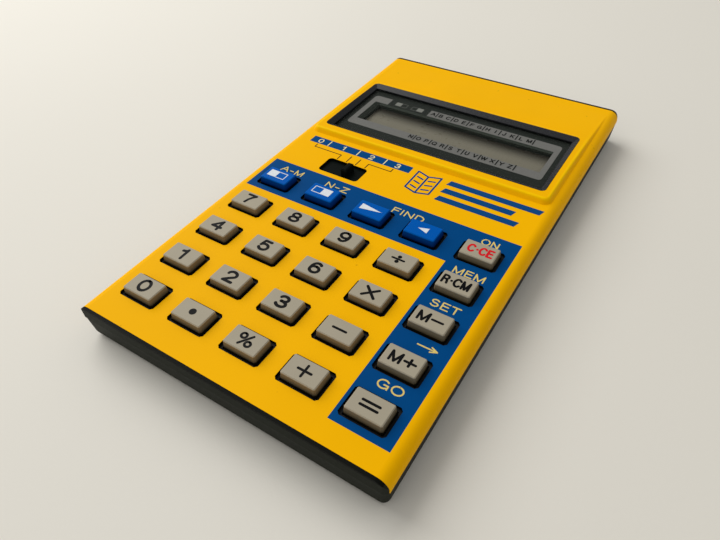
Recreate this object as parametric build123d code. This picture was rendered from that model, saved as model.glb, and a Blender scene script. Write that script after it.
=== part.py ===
"""Flat pocket electronic dictionary: metal-fronted case, 25 keys, slide switch and display.

Millimetres. X runs along a row of keys, Y from the keys to the display, Z up.
The origin is the middle of the base, and the case lies flat on Z = 0.
"""

from build123d import *
import math
import os

# Zones of the front, from one side or end of the case to the other
SIDE_MARGIN = 9.4
FRONT_MARGIN = 10.1
KEY_PITCH_X = 13.5
KEY_PITCH_Y = 11.0
KEY_COLUMNS = 5
KEY_ROWS = 5
SWITCH_ZONE = 11.9
PLATEAU_ZONE = 11.4
PLATEAU_LENGTH = 46.6
BACK_MARGIN = 4.0

# Clearances
SEAT_GAP = 0.05
SLIDE_GAP = 0.1
LOOSE_GAP = 0.3
SCREW_GAP = 0.02

# Case and front sheet
CASE_WALL = 1.4
END_WALL = 1.5
BASE_WALL = 1.2
CASE_DRAFT_DEG = 6.0
CASE_CORNER_R = 1.2
CASE_BOTTOM_R = 1.8
END_LIP = 0.75
SHEET = 0.6
BEND_R = 2.5
SKIRT_DROP = 3.0
TONGUE_HEIGHT = 0.9

# Raised display area of the front sheet
PLATEAU_SIDE_MARGIN = 2.4
PLATEAU_RISE = 1.2
PLATEAU_FLANK = 0.9
PLATEAU_CORNER_R = 2.2
PLATEAU_CREST_R = 0.5

# Display opening, bezel and window
OPENING_SIDE_MARGIN = 2.5
OPENING_FRONT_MARGIN = 3.3
OPENING_LENGTH = 27.6
OPENING_R = 1.3
BEZEL_PROUD = 0.05
BEZEL_RIM = 0.3
BEZEL_FLANGE = 0.8
SLOPE_RUN_X = 1.1
SLOPE_RUN_Y = 1.7
BEZEL_STEP = 0.35
FUNNEL_OVERRUN = 1.4
WINDOW_DROP = 0.15
WINDOW_THICK = 0.5
WINDOW_MARGIN = 0.7
WINDOW_R = 0.5
VIEW_LEFT_MARGIN = 5.6
VIEW_RIGHT_MARGIN = 2.9
VIEW_FRONT_MARGIN = 6.3
VIEW_LENGTH = 11.0

# Liquid crystal cell, its frame and connector strips
CELL_SIDE_MARGIN = 0.7
CELL_BORDER = 1.0
CELL_GLASS = 0.7
CELL_FILM = 0.2
CELL_LEDGE = 2.2
CELL_RIM = 1.0
CELL_RIM_DROP = 1.5
STRIP_WIDTH = 1.6
STRIP_MARGIN = 3.0
FRAME_WALL = 1.2

# Keys
KEY_BODY_X = 8.0
KEY_BODY_Y = 5.2
KEY_CORNER = 0.35
KEY_PROUD = 1.62
KEY_DRAFTED = 2.0
KEY_DRAFT = 0.25
KEY_EDGE = 0.15
KEY_HOLE_GAP_X = 0.8
KEY_HOLE_GAP_Y = 0.7
KEY_HOLE_CORNER = 0.55
KEY_FLANGE_OUT = 0.9
KEY_FLANGE = 0.8
KEY_WALL = 1.0
KEY_ROOF = 1.2
KEY_TRAVEL = 1.0
PLUNGER_SIDE = 2.4
PLUNGER_DROP = 0.95

# Slide switch
SWITCH_X = -15.8
SWITCH_OPENING_X = 11.6
SWITCH_OPENING_Y = 5.9
SWITCH_OPENING_R = 1.0
SWITCH_WELL = 0.55
SHUTTER_MARGIN = 0.5
KNOB_STEP = 2.8
KNOB_POSITIONS = 4
KNOB_REST_POSITION = 3
KNOB_RIDGE_X = 1.5
KNOB_RIDGE_Y = 3.6
KNOB_PROUD = 1.5
KNOB_EDGE = 0.3
STEM_X = 1.6
STEM_Y = 2.0
CARRIER_X = 7.6
CARRIER_Y = 5.0
CARRIER = 1.3
TRACK = 0.12
TRACK_LENGTH = 1.6
WIPER = 0.15
WIPER_WIDTH = 3.0
WIPER_TIP = 1.9
WIPER_SLOPE = 0.95

# Inner chassis, board and key mat
CHASSIS_PLATE = 1.0
CHASSIS_RIB = 0.8
CHASSIS_RIB_DROP = 2.0
BOARD_STANDOFF = 1.2
BOARD = 1.0
BOARD_MARGIN = 1.4
BOARD_BAY_GAP = 0.6
BOARD_PAD_INSET_X = 2.6
BOARD_PAD_INSET_Y = 9.1
BOARD_PAD_PAIRS = 4
MAT_SHEET = 0.5
MAT_MARGIN = 0.8
DOME_R = 2.9
DOME_DRAFT_DEG = 26.0
DOME_WALL = 0.6
DOME_SIDES = 8
PILL_SIDE = 1.8
PILL = 0.3

# Electronics on the board
CHIP_BEHIND_SWITCH = 4.0
CHIP_GAP = 1.2
CHIP_HEIGHT = 2.0
CHIP_LIFT = 0.1
CHIP_CORNER = 0.4
PROCESSOR_SIZE = 12.0
PROCESSOR_LEADS = 9
MEMORY_WIDTH = 6.0
MEMORY_LENGTH = 11.0
MEMORY_LEADS = 8
LEAD_PITCH = 1.1
LEAD_WIDTH = 0.35
LEAD_REACH = 1.1
LEAD_KNEE = 0.75
CRYSTAL_INSET = 4.6
CRYSTAL_R = 1.0
CRYSTAL_LENGTH = 6.0
CAPACITOR_R = 2.0
CAPACITOR_HEIGHT = 3.2
CAPACITOR_FOOT = 0.2
CAPACITOR_INSET = 4.1
CAPACITOR_PITCH = 5.5
CAPACITOR_BEHIND_CHIP = 9.0

# Screws, and the sides of the prisms that stand for small round bosses, holes and pins
ROUND_SIDES = 12
CASE_SCREW_INSET_X = 9.4
CASE_SCREW_BACK_INSET = 8.5
CASE_SCREW_FRONT_INSET = 4.0
CASE_SCREW_R = 1.0
CASE_SCREW_HEAD_R = 1.8
CASE_SCREW_HEAD = 1.2
CASE_SCREW_SUNK = 0.4
CASE_BOSS = 2.4
BOARD_SCREW_R = 0.8
BOARD_SCREW_HEAD_R = 1.4
BOARD_SCREW_HEAD = 0.7
SCREW_BITE = 2.6
SCREW_SLOT = 0.4
BOSS_WALL = 0.7

# Battery bay, button cells and cover
COIN_R = 5.8
COIN_HEIGHT = 5.4
COIN_CAP = 0.8
COIN_SPACING = 0.5
LINK_WIDTH = 17.8
LINK_LENGTH = 5.8
BAY_WALL = 2.0
BAY_DROP = 1.0
BAY_MARGIN = 1.4
COVER_LAND = 0.45
COVER_FRONT_LAND = 0.9
COVER_TONGUE_OUT = 0.8
COVER_TONGUE = 0.5
COVER_CURL = 2.6
GRIP_LENGTH = 12.0
GRIP_WIDTH = 0.8
GRIP_DEPTH = 0.3
GRIP_COUNT = 3
GRIP_PITCH = 1.6
GRIP_INSET = 3.2
CONTACT = 0.2
CONTACT_ROOM = 0.55
CONTACT_WIDTH = 3.0
CONTACT_TIP = 2.0
CONTACT_SLOPE = 1.0
CONTACT_ROOT = 2.0

# Plan: the zones add up to the case, and every place is counted from its edges
CASE_WIDTH = 2 * SIDE_MARGIN + (KEY_COLUMNS - 1) * KEY_PITCH_X
KEY_FIELD = (KEY_ROWS - 1) * KEY_PITCH_Y
DISPLAY_FIELD = PLATEAU_ZONE + PLATEAU_LENGTH + BACK_MARGIN
CASE_LENGTH = FRONT_MARGIN + KEY_FIELD + SWITCH_ZONE + DISPLAY_FIELD
HALF_WIDTH = CASE_WIDTH / 2
HALF_LENGTH = CASE_LENGTH / 2
TALL = CASE_LENGTH
PANEL_HALF_Y = HALF_LENGTH - END_LIP
INNER_HALF_X = HALF_WIDTH - CASE_WALL
INNER_HALF_Y = HALF_LENGTH - END_WALL
KEY_TOP_ROW_Y = KEY_FIELD + FRONT_MARGIN - HALF_LENGTH
SWITCH_Y = KEY_TOP_ROW_Y + SWITCH_ZONE
PLATEAU_FRONT = SWITCH_Y + PLATEAU_ZONE
PLATEAU_BACK = PLATEAU_FRONT + PLATEAU_LENGTH
PLATEAU_WIDTH = CASE_WIDTH - 2 * PLATEAU_SIDE_MARGIN
ARCH_R = PLATEAU_LENGTH**2 / (2 * PLATEAU_RISE)
FLANK_DEG = math.degrees(math.atan2(PLATEAU_FLANK, PLATEAU_RISE))

OPENING_WIDTH = PLATEAU_WIDTH - 2 * OPENING_SIDE_MARGIN
OPENING_CENTRE_Y = PLATEAU_FRONT + OPENING_FRONT_MARGIN + OPENING_LENGTH / 2
RIM_HALF_X = OPENING_WIDTH / 2 - SEAT_GAP - BEZEL_RIM
RIM_HALF_Y = OPENING_LENGTH / 2 - SEAT_GAP - BEZEL_RIM
WINDOW_X = 2 * (RIM_HALF_X - SLOPE_RUN_X + WINDOW_MARGIN)
WINDOW_Y = 2 * (RIM_HALF_Y - SLOPE_RUN_Y + WINDOW_MARGIN)
VIEW_WIDTH = WINDOW_X - VIEW_LEFT_MARGIN - VIEW_RIGHT_MARGIN
VIEW_CENTRE_X = (VIEW_LEFT_MARGIN - VIEW_RIGHT_MARGIN) / 2
VIEW_CENTRE_Y = OPENING_CENTRE_Y - WINDOW_Y / 2 + VIEW_FRONT_MARGIN + VIEW_LENGTH / 2
CELL_WIDTH = WINDOW_X - 2 * CELL_SIDE_MARGIN
CELL_LENGTH = VIEW_LENGTH + 2 * (CELL_BORDER + CELL_LEDGE)
STRIP_OFFSET = (CELL_LENGTH - CELL_LEDGE) / 2

COIN_X = COIN_R + COIN_SPACING / 2
BAY_HALF_X = COIN_X + COIN_R + LOOSE_GAP
BAY_HALF_Y = COIN_R + LOOSE_GAP
COIN_Y = INNER_HALF_Y - BAY_MARGIN - BAY_WALL - BAY_HALF_Y
COVER_FRONT_Y = COIN_Y - BAY_HALF_Y - COVER_FRONT_LAND
COVER_HALF_X = BAY_HALF_X + COVER_LAND

BOARD_HALF_X = INNER_HALF_X - BOARD_MARGIN
BOARD_FRONT_Y = BOARD_MARGIN - INNER_HALF_Y
BOARD_BACK_Y = COIN_Y - BAY_HALF_Y - BAY_WALL - BOARD_BAY_GAP

# Heights: the button cells set the thickness of the case
COVER_TOP = BASE_WALL - SLIDE_GAP
LINK_TOP = COVER_TOP + CONTACT
COIN_Z = LINK_TOP + SLIDE_GAP
COIN_TOP = COIN_Z + COIN_HEIGHT
CHASSIS_UNDER = COIN_TOP + CONTACT_ROOM
CHASSIS_TOP = CHASSIS_UNDER + CHASSIS_PLATE
PLATE_TOP = CHASSIS_TOP + SEAT_GAP + SHEET
SKIRT_Z = PLATE_TOP - SKIRT_DROP
BOARD_Z = BASE_WALL + BOARD_STANDOFF
BOARD_TOP = BOARD_Z + BOARD

KEY_FLANGE_TOP = CHASSIS_UNDER - SEAT_GAP
KEY_FLANGE_Z = KEY_FLANGE_TOP - KEY_FLANGE
KEY_TOP_Z = PLATE_TOP + KEY_PROUD
PLUNGER_Z = KEY_FLANGE_Z - PLUNGER_DROP
DOME_TOP = PLUNGER_Z - SEAT_GAP
PILL_TOP = PLUNGER_Z - KEY_TRAVEL - SEAT_GAP
PILL_Z = PILL_TOP - PILL

WINDOW_TOP = PLATE_TOP - WINDOW_DROP
WINDOW_Z = WINDOW_TOP - WINDOW_THICK
CELL_TOP = CHASSIS_UNDER - SEAT_GAP
GLASS_TOP = CELL_TOP - CELL_FILM
GLASS_MIDDLE = GLASS_TOP - CELL_GLASS
GLASS_UNDER = GLASS_MIDDLE - CELL_GLASS

KNOB_REST_X = SWITCH_X + (KNOB_REST_POSITION - (KNOB_POSITIONS + 1) / 2) * KNOB_STEP
KNOB_REACH = (KNOB_POSITIONS - 1) / 2 * KNOB_STEP
WELL_Z = CHASSIS_TOP - SWITCH_WELL
SHUTTER_X = SWITCH_OPENING_X + 2 * (KNOB_REACH + SHUTTER_MARGIN)
SHUTTER_Y = SWITCH_OPENING_Y + 2 * SHUTTER_MARGIN
CARRIER_TOP = CHASSIS_UNDER - SEAT_GAP
CARRIER_Z = CARRIER_TOP - CARRIER

CHIP_Y = SWITCH_Y + CHIP_BEHIND_SWITCH
MEMORY_HALF = MEMORY_WIDTH / 2 + LEAD_REACH
PROCESSOR_HALF = PROCESSOR_SIZE / 2 + LEAD_REACH
MEMORY_LEFT_X = SWITCH_X + KNOB_REACH + CARRIER_X / 2 + CHIP_GAP + MEMORY_HALF
PROCESSOR_X = MEMORY_LEFT_X + MEMORY_HALF + CHIP_GAP + PROCESSOR_HALF
MEMORY_RIGHT_X = PROCESSOR_X + PROCESSOR_HALF + CHIP_GAP + MEMORY_HALF

CASE_SCREW_SEAT = CASE_SCREW_SUNK + CASE_SCREW_HEAD
CASE_BOSS_TOP = BASE_WALL + CASE_BOSS
CASE_BOSS_R = CASE_SCREW_HEAD_R + SLIDE_GAP + BOSS_WALL

KEY_NAMES = (
    ("set_left", "set_right", "forward", "back", "clear"),
    ("7", "8", "9", "divide", "recall"),
    ("4", "5", "6", "multiply", "memory_minus"),
    ("1", "2", "3", "minus", "memory_plus"),
    ("0", "point", "percent", "plus", "equals"),
)


def block(size_x, size_y, bottom, top, x=0.0, y=0.0):
    """Rectangular block between two heights, centred on (x, y)."""
    return Pos(x, y, (bottom + top) / 2) * Box(size_x, size_y, top - bottom)


def pad(size_x, size_y, radius, bottom, top, x=0.0, y=0.0):
    """Block whose upright corners are rounded."""
    return Pos(x, y, bottom) * extrude(RectangleRounded(size_x, size_y, radius), top - bottom)


def post(radius, bottom, top, x=0.0, y=0.0):
    """Upright round post."""
    return Pos(x, y, (bottom + top) / 2) * Cylinder(radius, top - bottom)


def small_round(radius):
    """Outline of a small round boss, hole or pin."""
    return RegularPolygon(radius, ROUND_SIDES)


def cut_rectangle(size_x, size_y, corner):
    """Rectangle with its four corners cut off."""
    return chamfer(Rectangle(size_x, size_y).vertices(), corner)


def prisms(outline, places, bottom, top, draft=0.0):
    """One outline repeated at many places and run between two heights."""
    outlines = Sketch() + [Pos(x, y) * outline for x, y in places]
    return Pos(0, 0, bottom) * extrude(outlines, top - bottom, taper=draft)


def key_centre(row, column):
    """Plan centre of one key; row 0 is the one beside the display."""
    middle = (KEY_COLUMNS - 1) / 2
    return (column - middle) * KEY_PITCH_X, KEY_TOP_ROW_Y - row * KEY_PITCH_Y


def key_centres():
    """Plan centres of all keys."""
    return [key_centre(row, column) for row in range(KEY_ROWS) for column in range(KEY_COLUMNS)]


def case_screws_at():
    """Centres of the four screws that close the case."""
    back_x = HALF_WIDTH - CASE_SCREW_INSET_X
    back_y = HALF_LENGTH - CASE_SCREW_BACK_INSET
    front_x = 1.5 * KEY_PITCH_X
    front_y = CASE_SCREW_FRONT_INSET - HALF_LENGTH
    return [(-back_x, back_y), (back_x, back_y), (-front_x, front_y), (front_x, front_y)]


def board_screws_at():
    """Crossings of the gaps between keys, where the board is screwed to the chassis."""
    across = 1.5 * KEY_PITCH_X
    rows = (0.5, KEY_ROWS - 1.5)
    return [
        (side * across, KEY_TOP_ROW_Y - row * KEY_PITCH_Y) for side in (-1, 1) for row in rows
    ]


def board_pads_at():
    """Places where the tray carries the board from below."""
    x = BOARD_HALF_X - BOARD_PAD_INSET_X
    first = BOARD_FRONT_Y + BOARD_PAD_INSET_Y
    step = (BOARD_BACK_Y - BOARD_PAD_INSET_Y - first) / (BOARD_PAD_PAIRS - 1)
    return [(side * x, first + pair * step) for side in (-1, 1) for pair in range(BOARD_PAD_PAIRS)]


def hood(inset, half_length, bottom):
    """Arched section of the front sheet, its two long edges rounded, run along the case."""
    half = HALF_WIDTH - inset
    top = PLATE_TOP - inset
    section = Pos(0, (top + bottom) / 2) * Rectangle(2 * half, top - bottom)
    section = fillet(section.vertices().group_by(Axis.Y)[-1], BEND_R - inset)
    return extrude(Plane.XZ * section, half_length, both=True)


def plateau(inset):
    """Wedge that the display area raises: steep at the front, then one long shallow arch."""
    front = PLATEAU_FRONT + inset
    back = PLATEAU_BACK + PLATEAU_CORNER_R
    base = RectangleRounded(PLATEAU_WIDTH - 2 * inset, back - front, PLATEAU_CORNER_R)
    centre_y = (front + back) / 2
    island = Pos(0, centre_y, PLATE_TOP) * extrude(base, PLATEAU_RISE + 1, taper=FLANK_DEG)
    root = Pos(0, centre_y, SKIRT_Z) * extrude(base, SKIRT_DROP)
    arch_z = PLATE_TOP + PLATEAU_RISE - inset - ARCH_R
    arch = Pos(0, PLATEAU_FRONT, arch_z) * (Rot(0, 90, 0) * Cylinder(ARCH_R, TALL))
    return (root + island) & arch


def soft_plateau():
    """Outside of the raised area, its crest rounded as pressed sheet is."""
    wedge = plateau(0)
    half_way = PLATE_TOP + PLATEAU_RISE / 2
    crest = wedge.faces().filter_by(GeomType.CYLINDER).sort_by(Axis.Z)[-1].edges()
    return fillet([edge for edge in crest if edge.center().Z > half_way], PLATEAU_CREST_R)


def plateau_height(y):
    """Height of the raised area's top above the base at one place along the case."""
    return PLATE_TOP + PLATEAU_RISE - (y - PLATEAU_FRONT) ** 2 / (2 * ARCH_R)


def top_panel():
    """Painted sheet: flat front bent down over both sides, embossed round the display."""
    outer = hood(0, PANEL_HALF_Y, SKIRT_Z) + soft_plateau()
    inner = hood(SHEET, TALL, SKIRT_Z - 1) + plateau(SHEET)
    hole_x = KEY_BODY_X + 2 * KEY_HOLE_GAP_X
    hole_y = KEY_BODY_Y + 2 * KEY_HOLE_GAP_Y
    key_hole = cut_rectangle(hole_x, hole_y, KEY_HOLE_CORNER)
    display = RectangleRounded(OPENING_WIDTH, OPENING_LENGTH, OPENING_R)
    switch = RectangleRounded(SWITCH_OPENING_X, SWITCH_OPENING_Y, SWITCH_OPENING_R)
    openings = prisms(key_hole, key_centres(), 0, TALL)
    openings += prisms(display, [(0, OPENING_CENTRE_Y)], 0, TALL)
    openings += prisms(switch, [(SWITCH_X, SWITCH_Y)], 0, TALL)
    return outer - inner - openings


def drafted_tray(half_x, half_y, radius, bottom):
    """Solid that widens from its floor up to the edge of the front sheet's skirt."""
    run = (SKIRT_Z - bottom) * math.tan(math.radians(CASE_DRAFT_DEG))
    floor = RectangleRounded(2 * (half_x - run), 2 * (half_y - run), radius)
    return Pos(0, 0, bottom) * extrude(floor, SKIRT_Z - bottom, taper=-CASE_DRAFT_DEG)


def case_hull():
    """Outside of the case: drafted tray, rounded beneath, its end walls arched like the sheet."""
    tray = drafted_tray(HALF_WIDTH, HALF_LENGTH, CASE_CORNER_R, 0)
    rim = pad(CASE_WIDTH, CASE_LENGTH, CASE_CORNER_R, SKIRT_Z, PLATE_TOP)
    tray = fillet(tray.faces().sort_by(Axis.Z)[0].edges(), CASE_BOTTOM_R)
    return tray + (rim & hood(0, TALL, 0))


def cover_plate(gap):
    """Battery cover's plate, side tongues and curled end, or the path cut for it with a gap."""
    end = HALF_LENGTH + 1
    front = COVER_FRONT_Y - gap
    half = COVER_HALF_X + gap
    tongue_front = front + COVER_TONGUE_OUT
    curl_front = INNER_HALF_Y - COVER_TONGUE_OUT - gap
    top = COVER_TOP + gap
    plate = block(2 * half, end - front, -1, top, 0, (end + front) / 2)
    tongues = block(
        2 * (half + COVER_TONGUE_OUT),
        end - tongue_front,
        top - COVER_TONGUE - 2 * gap,
        top,
        0,
        (end + tongue_front) / 2,
    )
    curl = block(2 * half, end - curl_front, -1, COVER_CURL + gap, 0, (end + curl_front) / 2)
    return plate + tongues + curl


def bay():
    """Walls round the two button cells, standing on the tray's floor."""
    top = COIN_TOP - BAY_DROP
    outer = block(2 * (BAY_HALF_X + BAY_WALL), 2 * (BAY_HALF_Y + BAY_WALL), BASE_WALL / 2, top)
    inner = block(2 * BAY_HALF_X, 2 * BAY_HALF_Y, 0, TALL)
    return Pos(0, COIN_Y) * (outer - inner)


def lower_case():
    """Moulded tray: end walls, locating tongue, screw bosses, board pads and battery bay."""
    hollow = drafted_tray(INNER_HALF_X, INNER_HALF_Y, CASE_CORNER_R, BASE_WALL)
    hollow += pad(2 * INNER_HALF_X, 2 * INNER_HALF_Y, CASE_CORNER_R, SKIRT_Z, TALL)
    rest_y = PANEL_HALF_Y + SEAT_GAP
    under_sheet = block(TALL, 2 * rest_y, SKIRT_Z - SEAT_GAP, TALL)
    collar = hood(SHEET + SLIDE_GAP, rest_y, SKIRT_Z - SEAT_GAP)
    collar -= block(TALL, 2 * INNER_HALF_Y, SKIRT_Z + TONGUE_HEIGHT, TALL)
    tray = case_hull() - under_sheet + collar - hollow

    floor = BASE_WALL / 2
    tray += prisms(small_round(CASE_BOSS_R), case_screws_at(), floor, CASE_BOSS_TOP)
    tray += prisms(small_round(BOARD_SCREW_R + BOSS_WALL), board_pads_at(), floor, BOARD_Z)
    tray += bay()
    tray -= prisms(small_round(CASE_SCREW_HEAD_R + SLIDE_GAP), case_screws_at(), -1, CASE_SCREW_SEAT)
    tray -= prisms(small_round(CASE_SCREW_R + SLIDE_GAP), case_screws_at(), 0, TALL)
    tray -= cover_plate(SLIDE_GAP)
    link_path = HALF_LENGTH - COIN_Y + LINK_LENGTH / 2 + LOOSE_GAP
    path_width = LINK_WIDTH + 2 * LOOSE_GAP
    return tray - block(path_width, link_path, 0, COIN_Z, 0, HALF_LENGTH - link_path / 2)


def battery_cover():
    """Sliding cover: flush plate with side tongues, end curled up the back wall, grip grooves."""
    cover = cover_plate(0) & case_hull()
    grooves = [(0, COVER_FRONT_Y + GRIP_INSET + row * GRIP_PITCH) for row in range(GRIP_COUNT)]
    return cover - prisms(Rectangle(GRIP_LENGTH, GRIP_WIDTH), grooves, -1, GRIP_DEPTH)


def battery_link():
    """Plate on the inside of the cover that joins the two button cells."""
    return block(LINK_WIDTH, LINK_LENGTH, COVER_TOP, LINK_TOP, 0, COIN_Y)


def battery_cell(side):
    """Button cell: wide can with a smaller cap on its upper end."""
    shoulder = COIN_TOP - COIN_CAP
    can = post(COIN_R, COIN_Z, shoulder, side * COIN_X, COIN_Y)
    return can + post(COIN_R - COIN_CAP, shoulder, COIN_TOP, side * COIN_X, COIN_Y)


def battery_spring(side):
    """Contact leaf bent down from the chassis to the cap of one cell."""
    low = COIN_TOP + SEAT_GAP
    high = CHASSIS_UNDER - CONTACT
    tip = -CONTACT_TIP / 2
    heel = tip - CONTACT_SLOPE
    under = [(heel - CONTACT_ROOT, high), (heel, high), (tip, low), (-tip, low)]
    over = [(y, z + CONTACT) for y, z in reversed(under)]
    leaf = make_face(Polyline(*under, *over, close=True))
    return Pos(side * COIN_X, COIN_Y) * extrude(Plane.YZ * leaf, CONTACT_WIDTH / 2, both=True)


def inner_chassis():
    """Moulded plate under the sheet: key guides, ribs, screw bosses, window seat and cell rim."""
    half_x = INNER_HALF_X - SLIDE_GAP
    half_y = INNER_HALF_Y - SLIDE_GAP
    plan = pad(2 * half_x, 2 * half_y, CASE_CORNER_R, SKIRT_Z, TALL)
    plate = hood(SHEET + SEAT_GAP, half_y, SKIRT_Z) & plan
    plate -= block(TALL, TALL, 0, CHASSIS_UNDER)
    rim = plan - block(TALL, TALL, CHASSIS_UNDER, 2 * TALL)
    inside = 2 * CHASSIS_RIB + 2 * SLIDE_GAP
    rim -= block(2 * half_x - inside, 2 * half_y - inside, 0, TALL)
    chassis = plate + rim + key_ribs() + cell_rim() + switch_rails()

    board_boss = small_round(BOARD_SCREW_R + SCREW_GAP + BOSS_WALL)
    case_boss = small_round(CASE_SCREW_R + SCREW_GAP + BOSS_WALL)
    chassis += prisms(board_boss, board_screws_at(), BOARD_TOP, CHASSIS_UNDER)
    chassis += prisms(case_boss, case_screws_at(), CASE_BOSS_TOP, CHASSIS_UNDER)

    key_hole = Rectangle(KEY_BODY_X + 2 * SLIDE_GAP, KEY_BODY_Y + 2 * SLIDE_GAP)
    chassis -= prisms(key_hole, key_centres(), 0, TALL)
    board_pilot = small_round(BOARD_SCREW_R + SCREW_GAP)
    case_pilot = small_round(CASE_SCREW_R + SCREW_GAP)
    chassis -= prisms(board_pilot, board_screws_at(), 0, BOARD_TOP + SCREW_BITE + LOOSE_GAP)
    chassis -= prisms(case_pilot, case_screws_at(), 0, CASE_BOSS_TOP + SCREW_BITE + LOOSE_GAP)
    window_seat = Rectangle(WINDOW_X + 2 * SLIDE_GAP, WINDOW_Y + 2 * SLIDE_GAP)
    chassis -= prisms(window_seat, [(0, OPENING_CENTRE_Y)], WINDOW_Z, TALL)
    chassis -= block(VIEW_WIDTH, VIEW_LENGTH, 0, TALL, VIEW_CENTRE_X, VIEW_CENTRE_Y)
    return chassis - switch_cut()


def key_ribs():
    """Grid of ribs under the chassis, along the gaps between the keys."""
    middle_y = KEY_TOP_ROW_Y - KEY_FIELD / 2
    bottom = CHASSIS_UNDER - CHASSIS_RIB_DROP
    across = [(0, KEY_TOP_ROW_Y - (row - 0.5) * KEY_PITCH_Y) for row in range(KEY_ROWS)]
    along = [((col - KEY_COLUMNS / 2) * KEY_PITCH_X, middle_y) for col in range(1, KEY_COLUMNS)]
    long_rib = Rectangle(KEY_COLUMNS * KEY_PITCH_X, CHASSIS_RIB)
    short_rib = Rectangle(CHASSIS_RIB, KEY_ROWS * KEY_PITCH_Y)
    ribs = prisms(long_rib, across, bottom, CHASSIS_UNDER)
    return ribs + prisms(short_rib, along, bottom, CHASSIS_UNDER)


def cell_rim():
    """Raised rim under the chassis that holds the liquid crystal cell by its edges."""
    outer_x = CELL_WIDTH + 2 * (SLIDE_GAP + CELL_RIM)
    outer_y = CELL_LENGTH + 2 * (SLIDE_GAP + CELL_RIM)
    rim = block(outer_x, outer_y, CHASSIS_UNDER - CELL_RIM_DROP, CHASSIS_UNDER)
    pocket = block(CELL_WIDTH + 2 * SLIDE_GAP, CELL_LENGTH + 2 * SLIDE_GAP, 0, CELL_TOP)
    return Pos(0, VIEW_CENTRE_Y) * (rim - pocket)


def switch_rails():
    """Two rails under the chassis that guide the switch carrier."""
    offset = (CARRIER_Y + CHASSIS_RIB) / 2 + SLIDE_GAP
    rail = Rectangle(CARRIER_X + 2 * KNOB_REACH, CHASSIS_RIB)
    places = [(SWITCH_X, SWITCH_Y + side * offset) for side in (-1, 1)]
    return prisms(rail, places, CARRIER_Z, CHASSIS_UNDER)


def switch_cut():
    """Well for the knob's shutter and the slot for its stem."""
    well_x = SHUTTER_X + 2 * (KNOB_REACH + SLIDE_GAP)
    well = block(well_x, SHUTTER_Y + 2 * SLIDE_GAP, WELL_Z, TALL, SWITCH_X, SWITCH_Y)
    slot_x = STEM_X + 2 * (KNOB_REACH + SLIDE_GAP)
    return well + block(slot_x, STEM_Y + 2 * SLIDE_GAP, 0, TALL, SWITCH_X, SWITCH_Y)


def switch_knob():
    """Knob: grip, shutter that closes the opening, stem through the slot and carrier below."""
    shutter = block(SHUTTER_X, SHUTTER_Y, WELL_Z + SEAT_GAP, CHASSIS_TOP - SLIDE_GAP)
    ridge = block(KNOB_RIDGE_X, KNOB_RIDGE_Y, WELL_Z + SEAT_GAP, PLATE_TOP + KNOB_PROUD)
    ridge = chamfer(ridge.faces().sort_by(Axis.Z)[-1].edges(), KNOB_EDGE)
    stem = block(STEM_X, STEM_Y, CARRIER_TOP, WELL_Z + SEAT_GAP)
    carrier = block(CARRIER_X, CARRIER_Y, CARRIER_Z, CARRIER_TOP)
    return Pos(KNOB_REST_X, SWITCH_Y) * (shutter + ridge + stem + carrier)


def switch_wiper():
    """Bent leaf under the carrier that bridges the tracks."""
    high = CARRIER_Z - WIPER
    low = BOARD_TOP + TRACK + SEAT_GAP
    reach = CARRIER_X / 2
    bend = reach - WIPER_TIP
    under = [(-reach, high), (bend - WIPER_SLOPE, high), (bend, low), (reach, low)]
    over = [(x, z + WIPER) for x, z in reversed(under)]
    leaf = make_face(Polyline(*under, *over, close=True))
    return Pos(KNOB_REST_X, SWITCH_Y) * extrude(Plane.XZ * leaf, WIPER_WIDTH / 2, both=True)


def switch_tracks():
    """Contact pads on the board, one for each place of the switch, and their common rail."""
    first = SWITCH_X - KNOB_REACH + (CARRIER_X - WIPER_TIP) / 2
    pad_y = SWITCH_Y - WIPER_WIDTH / 4
    pads = [(first + place * KNOB_STEP, pad_y) for place in range(KNOB_POSITIONS)]
    tracks = prisms(Rectangle(TRACK_LENGTH, WIPER_WIDTH / 3), pads, BOARD_TOP, BOARD_TOP + TRACK)
    rail_x = first + KNOB_REACH
    return tracks + block(
        2 * KNOB_REACH + TRACK_LENGTH,
        WIPER_WIDTH / 3,
        BOARD_TOP,
        BOARD_TOP + TRACK,
        rail_x,
        SWITCH_Y + WIPER_WIDTH / 4,
    )


def key(row, column):
    """Moulded key: drafted hollow cap, shank in the chassis guide, flange and centre plunger."""
    neck_z = KEY_TOP_Z - KEY_DRAFTED
    flange_x = KEY_BODY_X + 2 * KEY_FLANGE_OUT
    flange_y = KEY_BODY_Y + 2 * KEY_FLANGE_OUT
    flange = block(flange_x, flange_y, KEY_FLANGE_Z, KEY_FLANGE_TOP)
    outline = cut_rectangle(KEY_BODY_X, KEY_BODY_Y, KEY_CORNER)
    shank = Pos(0, 0, KEY_FLANGE_Z) * extrude(outline, neck_z - KEY_FLANGE_Z)
    draft = math.degrees(math.atan2(KEY_DRAFT, KEY_DRAFTED))
    crown = Pos(0, 0, neck_z) * extrude(outline, KEY_DRAFTED, taper=draft)
    crown = chamfer(crown.faces().sort_by(Axis.Z)[-1].edges(), KEY_EDGE)
    roof_z = KEY_TOP_Z - KEY_ROOF
    hollow = block(KEY_BODY_X - 2 * KEY_WALL, KEY_BODY_Y - 2 * KEY_WALL, 0, roof_z)
    plunger = block(PLUNGER_SIDE, PLUNGER_SIDE, PLUNGER_Z, roof_z + KEY_EDGE)
    x, y = key_centre(row, column)
    return Pos(x, y) * (flange + shank + crown - hollow + plunger)


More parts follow.
